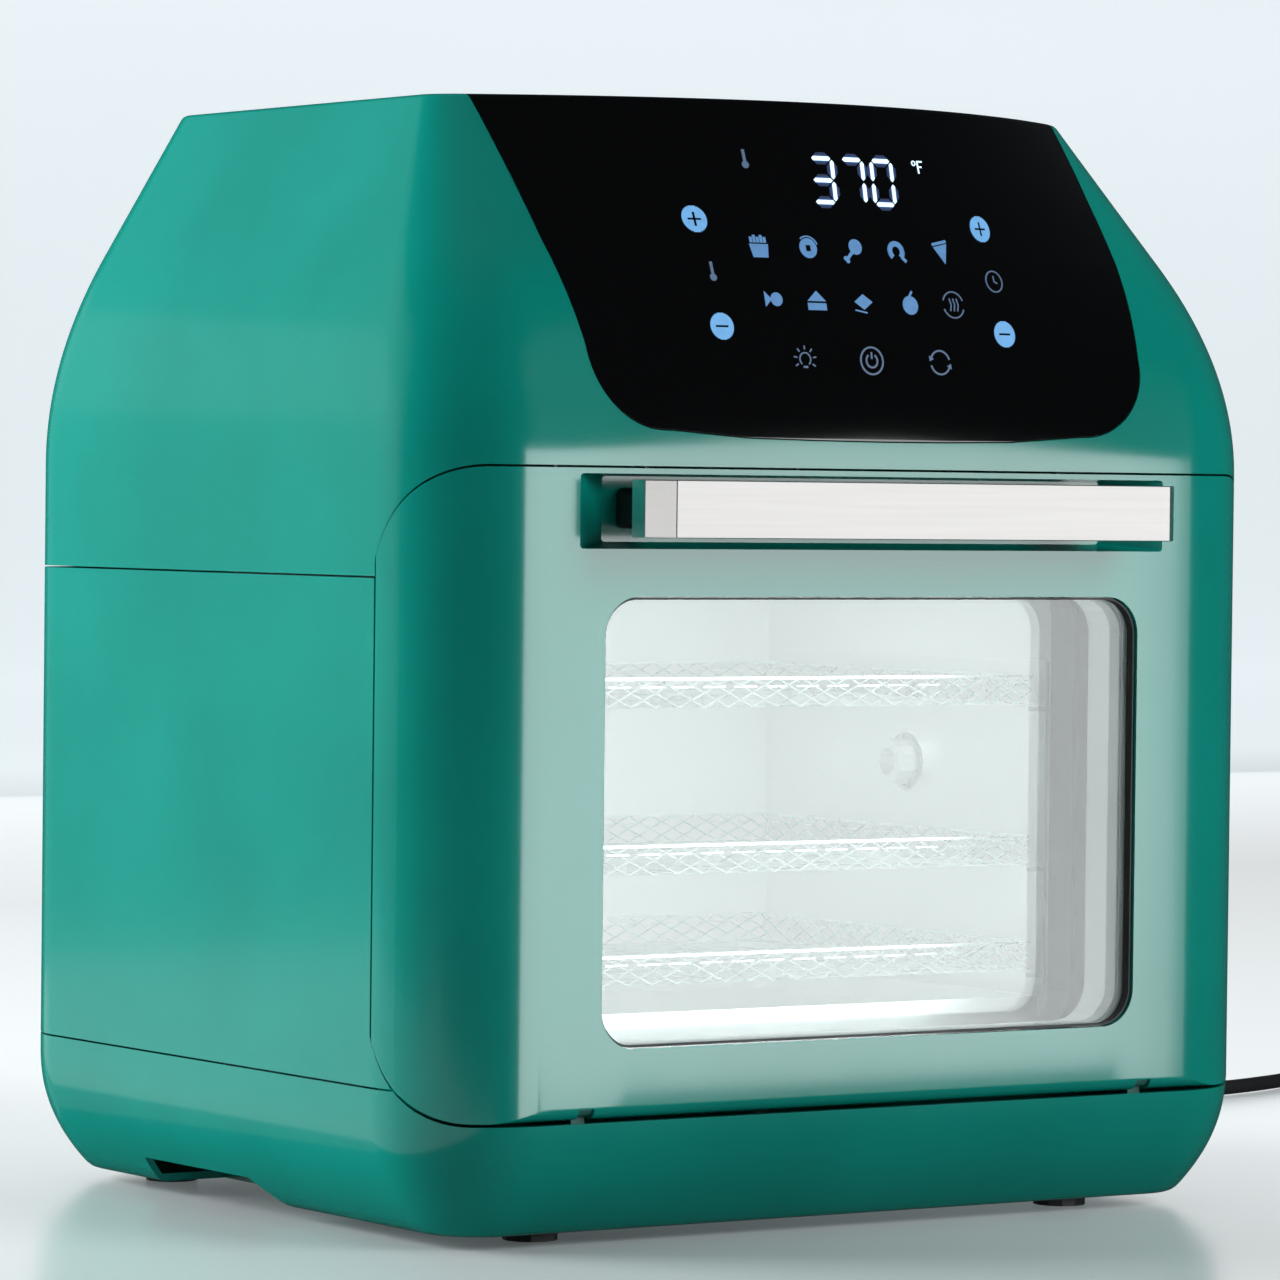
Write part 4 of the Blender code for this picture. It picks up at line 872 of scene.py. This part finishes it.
def make_racks():
    for number, node in enumerate(RACKS):
        low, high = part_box(node)
        half, front, back = high.x, low.y - FRONT, high.y - FRONT
        inset = RIM / 2
        left, right, near, far = inset - half, half - inset, front + inset, back - inset
        floor, top = low.z + 0.0006, high.z - inset
        corners = [(left, near), (right, near), (right, far), (left, far)]
        walls = list(zip(corners, corners[1:] + corners[:1]))

        bm = bmesh.new()
        for a, b in walls:
            add_strand(bm, (*a, top), (*b, top), RIM, RIM)
            length = math.dist(a, b)
            bonds = round(length / DIAMOND_LONG)
            for i in range(bonds):
                shares = [(i + 0.5 + end * BOND_LONG / DIAMOND_LONG / 2) / bonds for end in (-1, 1)]
                places = [(a[0] + (b[0] - a[0]) * s, a[1] + (b[1] - a[1]) * s) for s in shares]
                add_strand(bm, (*places[0], top - BOND_DROP), (*places[1], top - BOND_DROP), STRAND, STRAND)
        rim = mesh_object(f"rack_rim_{number + 1}", bm, "wire")
        place(rim, "root", "stainless", node)

        bm = bmesh.new()
        for (u0, v0), (u1, v1) in diamond_strands(left, right, near, far):
            add_strand(bm, (u0, v0, floor), (u1, v1, floor), STRAND, STRAND)
        for a, b in walls:
            length = math.dist(a, b)
            along = ((b[0] - a[0]) / length, (b[1] - a[1]) / length)
            for (u0, v0), (u1, v1) in diamond_strands(0.0, length, floor, top, WALL_SCALE):
                start = (a[0] + along[0] * u0, a[1] + along[1] * u0, v0)
                end = (a[0] + along[0] * u1, a[1] + along[1] * u1, v1)
                add_strand(bm, start, end, STRAND, STRAND)
        # the strands wear the darker steel, painted shade against the bright rim
        mesh = mesh_object(f"rack_mesh_{number + 1}", bm, "mesh")
        place(mesh, "root", "stainless")


# -------- touch panel graphics
def front_y(x, z, lift):
    """The depth of the panel's face at a point of the front view, lifted clear of it."""
    section = [p for p in plan(z) if p[0] >= 0.0]
    for (x0, y0), (x1, y1) in zip(section, section[1:]):
        if x0 <= abs(x) <= x1 and x1 > x0:
            return y0 + (y1 - y0) * (abs(x) - x0) / (x1 - x0) - lift
    raise ValueError("the point lies past the panel's side")


INK_LIFT = 0.00025
INK_BACK = 0.00003


def add_ink(bm, outline, lift=INK_LIFT):
    """A thin closed patch on the panel's curved face."""
    front = [bm.verts.new((x, front_y(x, z, lift), z)) for x, z in outline]
    back = [bm.verts.new((x, front_y(x, z, INK_BACK), z)) for x, z in outline]
    count = len(outline)
    bm.faces.new(front)
    bm.faces.new(list(reversed(back)))
    for i in range(count):
        j = (i + 1) % count
        bm.faces.new((front[j], front[i], back[i], back[j]))


def add_patch(bm, x, z, *corners):
    add_ink(bm, [(x + u, z + v) for u, v in corners])


def add_line(bm, points, width):
    for (x0, z0), (x1, z1) in zip(points, points[1:]):
        along = Vector((x1 - x0, z1 - z0))
        if along.length < 1e-7:
            continue
        side = Vector((-along.y, along.x)).normalized() * width / 2
        add_ink(bm, [(x0 + side.x, z0 + side.y), (x0 - side.x, z0 - side.y),
                     (x1 - side.x, z1 - side.y), (x1 + side.x, z1 + side.y)])


def add_stroke(bm, x, z, width, *points):
    add_line(bm, [(x + u, z + v) for u, v in points], width)


def arc(centre, radius, start, end, steps=14):
    angles = (math.radians(start + (end - start) * i / steps) for i in range(steps + 1))
    return [(centre[0] + radius * math.cos(a), centre[1] + radius * math.sin(a)) for a in angles]


def add_disc(bm, centre, radius, holes=()):
    """A filled disc drawn as rows, leaving out rectangular holes such as a plus or a minus."""
    rows = 26
    for i in range(rows):
        low = -radius + 2 * radius * i / rows
        high = low + 2 * radius / rows
        middle = (low + high) / 2
        reach = math.sqrt(radius ** 2 - middle ** 2)
        spans = [(-reach, reach)]
        for half_wide, half_high in holes:
            if abs(middle) < half_high:
                spans = [s for a, b in spans for s in ((a, min(b, -half_wide)), (max(a, half_wide), b))]
        for a, b in spans:
            if b - a > 1e-5:
                add_patch(bm, *centre, (a, low), (b, low), (b, high), (a, high))


def add_segment_digit(bm, x, z, width, height, lit_segments, thick=0.0014, lift=INK_LIFT):
    """One digit of a seven-segment display, leaning slightly to the right."""
    gap, slant = 0.0004, 0.08
    half = height / 2
    bars = {
        "a": (0, height, width, height), "g": (0, half, width, half), "d": (0, 0, width, 0),
        "f": (0, half, 0, height), "b": (width, half, width, height),
        "e": (0, 0, 0, half), "c": (width, 0, width, half),
    }
    for letter in lit_segments:
        u0, v0, u1, v1 = bars[letter]
        length = math.hypot(u1 - u0, v1 - v0)
        du, dv = (u1 - u0) / length, (v1 - v0) / length
        a, b = (u0 + du * gap, v0 + dv * gap), (u1 - du * gap, v1 - dv * gap)
        tip = thick / 2
        side = (-dv * tip, du * tip)
        points = [a, (a[0] + du * tip + side[0], a[1] + dv * tip + side[1]),
                  (b[0] - du * tip + side[0], b[1] - dv * tip + side[1]), b,
                  (b[0] - du * tip - side[0], b[1] - dv * tip - side[1]),
                  (a[0] + du * tip - side[0], a[1] + dv * tip - side[1])]
        add_ink(bm, [(x + u + v * slant, z + v) for u, v in points], lift)


LINE = 0.00042
NUMBER = ((-0.0150, "abgcd"), (-0.0035, "abc"), (0.0080, "abcdef"))


def draw_thermometer(bm, x, z):
    size = 0.0030
    add_line(bm, [(x, z - size * 0.3), (x, z + size)], LINE * 2.2)
    add_disc(bm, (x, z - size * 0.6), size * 0.38)


def draw_fries(bm, x, z):
    add_patch(bm, x, z, (-0.0026, -0.0034), (0.0026, -0.0034), (0.0033, 0.0008), (-0.0033, 0.0008))
    for i in range(5):
        left, top = 0.0012 * i - 0.0029, 0.0030 + 0.0006 * (i % 2)
        add_patch(bm, x, z, (left, 0.0012), (left + 0.0009, 0.0012), (left + 0.0009, top), (left, top))


def draw_drumstick(bm, x, z):
    add_disc(bm, (x + 0.0009, z + 0.0009), 0.0024)
    add_stroke(bm, x, z, 0.0010, (-0.0004, -0.0006), (-0.0030, -0.0032))
    add_disc(bm, (x - 0.0034, z - 0.0028), 0.0007)
    add_disc(bm, (x - 0.0027, z - 0.0036), 0.0007)


def draw_steak(bm, x, z):
    add_disc(bm, (x, z), 0.0031, holes=((0.0009, 0.0009),))
    add_line(bm, arc((x, z), 0.0037, 20, 130), LINE)


def draw_shrimp(bm, x, z):
    add_line(bm, arc((x, z), 0.0024, -50, 230, 20), 0.0017)
    add_stroke(bm, x, z, 0.0010, (0.0018, -0.0018), (0.0034, -0.0032))


def draw_pizza(bm, x, z):
    add_patch(bm, x, z, (-0.0030, 0.0018), (0.0008, -0.0034), (0.0026, 0.0030))
    add_stroke(bm, x, z, 0.0009, (-0.0033, 0.0026), (0.0026, 0.0038))


def draw_fish(bm, x, z):
    add_disc(bm, (x + 0.0006, z), 0.0021)
    add_patch(bm, x, z, (-0.0012, 0.0), (-0.0036, -0.0024), (-0.0036, 0.0024))


def draw_cake(bm, x, z):
    add_patch(bm, x, z, (-0.0034, -0.0030), (0.0034, -0.0030), (0.0034, -0.0008), (-0.0034, -0.0008))
    add_patch(bm, x, z, (-0.0034, -0.0002), (0.0034, -0.0002), (0.0002, 0.0030))


def draw_leaf(bm, x, z):
    add_patch(bm, x, z, (-0.0034, 0.0), (0.0, 0.0024), (0.0034, 0.0), (0.0, -0.0024))
    add_stroke(bm, x, z, LINE, (-0.0034, -0.0026), (0.0010, -0.0034))


def draw_fruit(bm, x, z):
    add_disc(bm, (x, z - 0.0006), 0.0029)
    add_stroke(bm, x, z, LINE * 1.6, (0.0, 0.0022), (0.0012, 0.0038))


def draw_heat(bm, x, z):
    add_line(bm, arc((x, z), 0.0041, 20, 160), LINE)
    add_line(bm, arc((x, z), 0.0041, 200, 340), LINE)
    for shift in (-0.0014, 0.0, 0.0014):
        add_stroke(bm, x + shift, z, LINE, (0.0, -0.0020), (0.0005, 0.0), (0.0, 0.0020))


def draw_bulb(bm, x, z):
    add_line(bm, arc((x, z), 0.0020, -50, 230, 20), LINE)
    add_stroke(bm, x, z, LINE * 1.6, (-0.0008, -0.0024), (0.0008, -0.0024))
    for i in range(7):
        angle = math.radians(-30 + 40 * i)
        ray = Vector((math.cos(angle), math.sin(angle)))
        add_line(bm, [(x + ray.x * reach, z + ray.y * reach) for reach in (0.0030, 0.0042)], LINE)


def draw_power(bm, x, z):
    add_line(bm, arc((x, z), 0.0042, 0, 360, 32), LINE * 1.3)
    add_line(bm, arc((x, z), 0.0021, 125, 415, 20), LINE * 1.3)
    add_stroke(bm, x, z, LINE * 1.3, (0.0, 0.0006), (0.0, 0.0027))


def draw_rotate(bm, x, z):
    for start in (15, 195):
        points = arc((x, z), 0.0037, start, start + 140)
        add_line(bm, points, LINE * 1.3)
        (u, v), (u0, v0) = points[-1], points[-2]
        ahead = Vector((u - u0, v - v0)).normalized() * 0.0014
        side = Vector((-ahead.y, ahead.x)) * 0.7
        add_ink(bm, [(u + side.x, v + side.y), (u - side.x, v - side.y), (u + ahead.x, v + ahead.y)])


def draw_clock(bm, x, z):
    add_line(bm, arc((x, z), 0.0033, 0, 360, 28), LINE)
    add_stroke(bm, x, z, LINE, (0.0, 0.0018), (0.0, 0.0), (0.0012, -0.0006))


def draw_plus(bm, x, z):
    add_disc(bm, (x, z), DISC, holes=((BAR, ARM), (ARM, BAR)))


def draw_minus(bm, x, z):
    add_disc(bm, (x, z), DISC, holes=((BAR, ARM),))


# each group of symbols: the object's name, its finish, and rows of (drawing, x, z)
DISC, BAR, ARM = 0.0041, 0.0023, 0.00045
SYMBOLS = (
    ("adjust_symbols", "discs", (
        (draw_plus, -0.0585, 0.3138), (draw_plus, 0.0497, 0.3141),
        (draw_minus, -0.0564, 0.2807), (draw_minus, 0.0512, 0.2807),
    )),
    ("food_symbols", "icons", (
        (draw_fries, -0.0383, 0.3058), (draw_steak, -0.0206, 0.3058), (draw_drumstick, -0.0038, 0.3058),
        (draw_shrimp, 0.0127, 0.3058), (draw_pizza, 0.0310, 0.3058), (draw_fish, -0.0359, 0.2895),
        (draw_cake, -0.0206, 0.2895), (draw_leaf, -0.0030, 0.2895), (draw_fruit, 0.0150, 0.2895),
    )),
    ("control_symbols", "dim_icons", (
        (draw_thermometer, -0.0372, 0.3332), (draw_thermometer, -0.0565, 0.2976),
        (draw_clock, 0.0506, 0.2974), (draw_heat, 0.0321, 0.2895),
        (draw_bulb, -0.0273, 0.2712), (draw_power, -0.0022, 0.2712), (draw_rotate, 0.0242, 0.2712),
    )),
)


DIGIT_LOW, DIGIT_WIDTH, DIGIT_HEIGHT = 0.3205, 0.0078, 0.0138
# the glow round the digits, as wider copies that lie behind them: thickness, lift and finish
HALOS = ((0.0038, 0.00010, "halo_far"), (0.0026, 0.00016, "halo_near"))


def make_graphics():
    for name, finish, drawings in SYMBOLS:
        bm = bmesh.new()
        for draw, x, z in drawings:
            draw(bm, x, z)
        place(mesh_object(name, bm, finish), "root", "black_gloss")

    bm = bmesh.new()
    for left, segments in NUMBER:
        add_segment_digit(bm, left, DIGIT_LOW, DIGIT_WIDTH, DIGIT_HEIGHT, segments)
    add_line(bm, arc((0.0266, 0.3342), 0.0007, 0, 360, 12), 0.0003)
    add_line(bm, [(0.0282, 0.3310), (0.0282, 0.3350)], 0.0005)
    add_line(bm, [(0.0282, 0.3348), (0.0303, 0.3348)], 0.0005)
    add_line(bm, [(0.0282, 0.3331), (0.0298, 0.3331)], 0.0005)
    place(mesh_object("display_digits", bm, "digits"), "root", "black_gloss")
    for number, (thick, lift, finish) in enumerate(HALOS):
        bm = bmesh.new()
        for left, segments in NUMBER:
            add_segment_digit(bm, left, DIGIT_LOW, DIGIT_WIDTH, DIGIT_HEIGHT, segments, thick, lift)
        place(mesh_object(f"display_halo_{number + 1}", bm, finish), "root", "black_gloss")


# -------- carried-over CAD nodes
def dress_frame():
    """Every CAD node that still shows gets a finish."""
    slots = {row["node"]: row["material_slot"] for row in frame["record"]["subparts"]}
    for name, node in frame["nodes"].items():
        if node.hide_render:
            continue
        slot = slots[name]
        node.data.materials.clear()
        # the hinge brackets wear the darker green: painted shade for the seam they show through
        finish = "green_painted_shade" if name.startswith("hinge_bracket") else SLOT_FINISH.get(slot, slot)
        node.data.materials.append(MATERIALS[finish])


# -------- studio
WORLD_LIGHT = 0.035
# the paper sheet: the radius of its bend, half its width, where the bend begins, and its height;
# its upright part stands beyond the farthest view, 4.4 m from the oven
SHEET_BEND, SHEET_REACH, SHEET_START, SHEET_TOP = 0.9, 12.0, 4.8, 7.0
SOFTBOX = ((-0.0900, -0.422, -0.001), (0.3613, -0.422, 0.278))
SOFTBOX_RADIANCE = 6.0
# the paper's own light, from the front left, past the oven's right, to the back
PAPER_LINE = (0.87, 0.50, 0.0)
PAPER_PLACES = (-0.12, 0.24, 1.50)
PAPER_GLOW = (0.07, 0.22, 0.18)
FAR_GLOW = 0.525
FAR_PLACES = (1.35, 2.80)
SHEEN_PLACES = (1.20, 2.40)
FILLS = (
    ("key_front", (1.2, 1.2), (0.9, -1.6, 1.1), 34.0),
    ("side_fill", (1.4, 1.4), (-1.6, 1.3, 0.8), 92.0),
    ("top_fill", (1.6, 1.6), (0.0, 0.2, 2.0), 10.0),
)
OVEN_LIGHT = 0.045
# lights that only reflections see: size, place, target, radiance, and the one piece they are for
MIRRORS = (
    ("side_mirror", (1.7, 1.2), (-0.88, 1.05, 0.10), (-0.16, 0.0, 0.12), 0.15, None),
    ("floor_mirror", (0.8, 1.4), (-0.60, 0.25, 0.004), (-0.60, 0.25, 1.0), 0.45, None),
    ("wall_mirror", (13.0, 7.0), (3.80, 5.00, 3.50), (0.0, -0.1, 3.50), 0.80, "studio_floor"),
    ("facet_mirror", (0.5, 0.5), (-1.00, -0.79, 0.20), (-0.05, -0.13, 0.22), 1.05, "handle_grip"),
    ("grip_mirror", (0.9, 0.5), (0.42, -0.70, 0.22), (0.0, -0.13, 0.22), 1.05, "handle_grip"),
)
# upright mirrors behind the oven that share one top edge, so that they brighten in even steps
REAR_MIRRORS = 6
REAR_MIRROR_TOP = 1.65
REAR_MIRROR_LOW = 0.45
REAR_MIRROR_STEP = 0.08
REAR_MIRROR_RADIANCE = 0.12


def add_light(name, size, position, target, power, colour=(1.0, 1.0, 1.0), glossy=True, diffuse=True):
    data = bpy.data.lights.new(name, "AREA")
    data.shape = "RECTANGLE"
    data.size, data.size_y = size
    data.energy = power
    data.color = colour
    lamp = bpy.data.objects.new(name, data)
    lamp.location = position
    aim = Vector(target) - Vector(position)
    lamp.rotation_mode = "QUATERNION"
    lamp.rotation_quaternion = aim.to_track_quat("-Z", "Y")
    lamp.visible_camera = False
    lamp.visible_glossy = glossy
    lamp.visible_diffuse = diffuse
    bpy.context.scene.collection.objects.link(lamp)
    return lamp


def link_light(lamp, pieces, state):
    """Shine a light on these pieces only, or on all but these pieces."""
    group = bpy.data.collections.new(f"{lamp.name}_linked")
    for piece in pieces:
        group.objects.link(bpy.data.objects[piece])
    lamp.light_linking.receiver_collection = group
    for entry in group.collection_objects:
        entry.light_linking.link_state = state


def make_studio():
    world = bpy.data.worlds.new("studio")
    world.use_nodes = True
    sky = world.node_tree.nodes["Background"]
    sky.inputs["Color"].default_value = (0.80, 0.90, 0.95, 1.0)
    sky.inputs["Strength"].default_value = WORLD_LIGHT
    bpy.context.scene.world = world
    bpy.context.scene.view_settings.view_transform = "Standard"

    bm = bmesh.new()
    profile = [(-SHEET_REACH, 0.0)]
    profile += quarter((SHEET_START, SHEET_BEND), SHEET_BEND, -90, 16)
    profile.append((SHEET_START + SHEET_BEND, SHEET_TOP))
    rows = [[bm.verts.new((x, y - FRONT, z)) for x in (-SHEET_REACH, SHEET_REACH)] for y, z in profile]
    for (a, b), (c, d) in zip(rows, rows[1:]):
        bm.faces.new((a, b, d, c))
    floor = mesh_object("studio_floor", bm, None)
    paper = Nodes("studio_paper")
    place = paper.add("ShaderNodeTexCoord").outputs["Object"]
    along = paper.add("ShaderNodeVectorMath", {0: place, 1: PAPER_LINE}, operation="DOT_PRODUCT")
    line = along.outputs["Value"]
    (near, beside, far), (dim, mid, bright) = PAPER_PLACES, PAPER_GLOW
    paper.set(Base_Color=paper.tint(paper.noise(3.0), (0.49, 0.53, 0.54), (0.50, 0.54, 0.55)))
    paper.set(Roughness=0.22, Emission_Color=(0.90, 0.965, 1.0, 1.0))
    first = paper.between(line, dim, mid, low_in=near, high_in=beside)
    second = paper.between(line, 0.0, bright - mid, low_in=beside, high_in=far)
    depth = paper.add("ShaderNodeSeparateXYZ", {0: place}).outputs["Y"]
    third = paper.between(depth, 0.0, FAR_GLOW, low_in=FAR_PLACES[0], high_in=FAR_PLACES[1])
    total = paper.add("ShaderNodeMath", {0: first, 1: second}, operation="ADD").outputs[0]
    total = paper.add("ShaderNodeMath", {0: total, 1: third}, operation="ADD").outputs[0]
    paper.set(Emission_Strength=total)
    # the sheen ends behind the oven, or the far floor would mirror a bright band
    sheen_from, sheen_to = SHEEN_PLACES
    paper.set(Specular_IOR_Level=paper.between(depth, 0.5, 0.0, low_in=sheen_from, high_in=sheen_to))
    floor.data.materials.append(paper.material)
    floor.visible_glossy = False

    # the big softbox that the front mirrors; it shows in reflections only
    low, high = SOFTBOX
    middle = [(a + b) / 2 for a, b in zip(low, high)]
    size = (high[0] - low[0], high[2] - low[2])
    power, target = SOFTBOX_RADIANCE * math.pi * size[0] * size[1], (middle[0], 0.0, middle[2])
    softbox = add_light("softbox_mirror", size, middle, target, power, (0.95, 1.0, 1.0), diffuse=False)
    link_light(softbox, ("handle_grip", "studio_floor"), "EXCLUDE")
    for name, size, position, target, radiance, piece in MIRRORS:
        power = radiance * math.pi * size[0] * size[1]
        lamp = add_light(name, size, position, target, power, diffuse=False)
        if piece:
            link_light(lamp, (piece,), "INCLUDE")
    for step in range(REAR_MIRRORS):
        bottom = REAR_MIRROR_LOW + REAR_MIRROR_STEP * step
        size = (1.3, REAR_MIRROR_TOP - bottom)
        middle = (bottom + REAR_MIRROR_TOP) / 2
        power = REAR_MIRROR_RADIANCE * math.pi * size[0] * size[1]
        position, target = (-0.95, 1.50, middle), (-0.16, 0.0, middle)
        add_light(f"rear_mirror_{step + 1}", size, position, target, power, diffuse=False)
    for name, size, position, power in FILLS:
        add_light(name, size, position, (0.0, 0.0, 0.15), power, glossy=False)
    add_light("oven_light", (0.150, 0.100), (0.0, 0.010, 0.198), (0.0, 0.010, 0.0), OVEN_LIGHT)


# -------- assembly
make_camera()
make_cord()
make_hood()
make_base()
make_sides()
make_rear()
make_top()
make_panel()
make_door()
make_window()
make_handle()
make_racks()
make_graphics()
dress_frame()
make_studio()
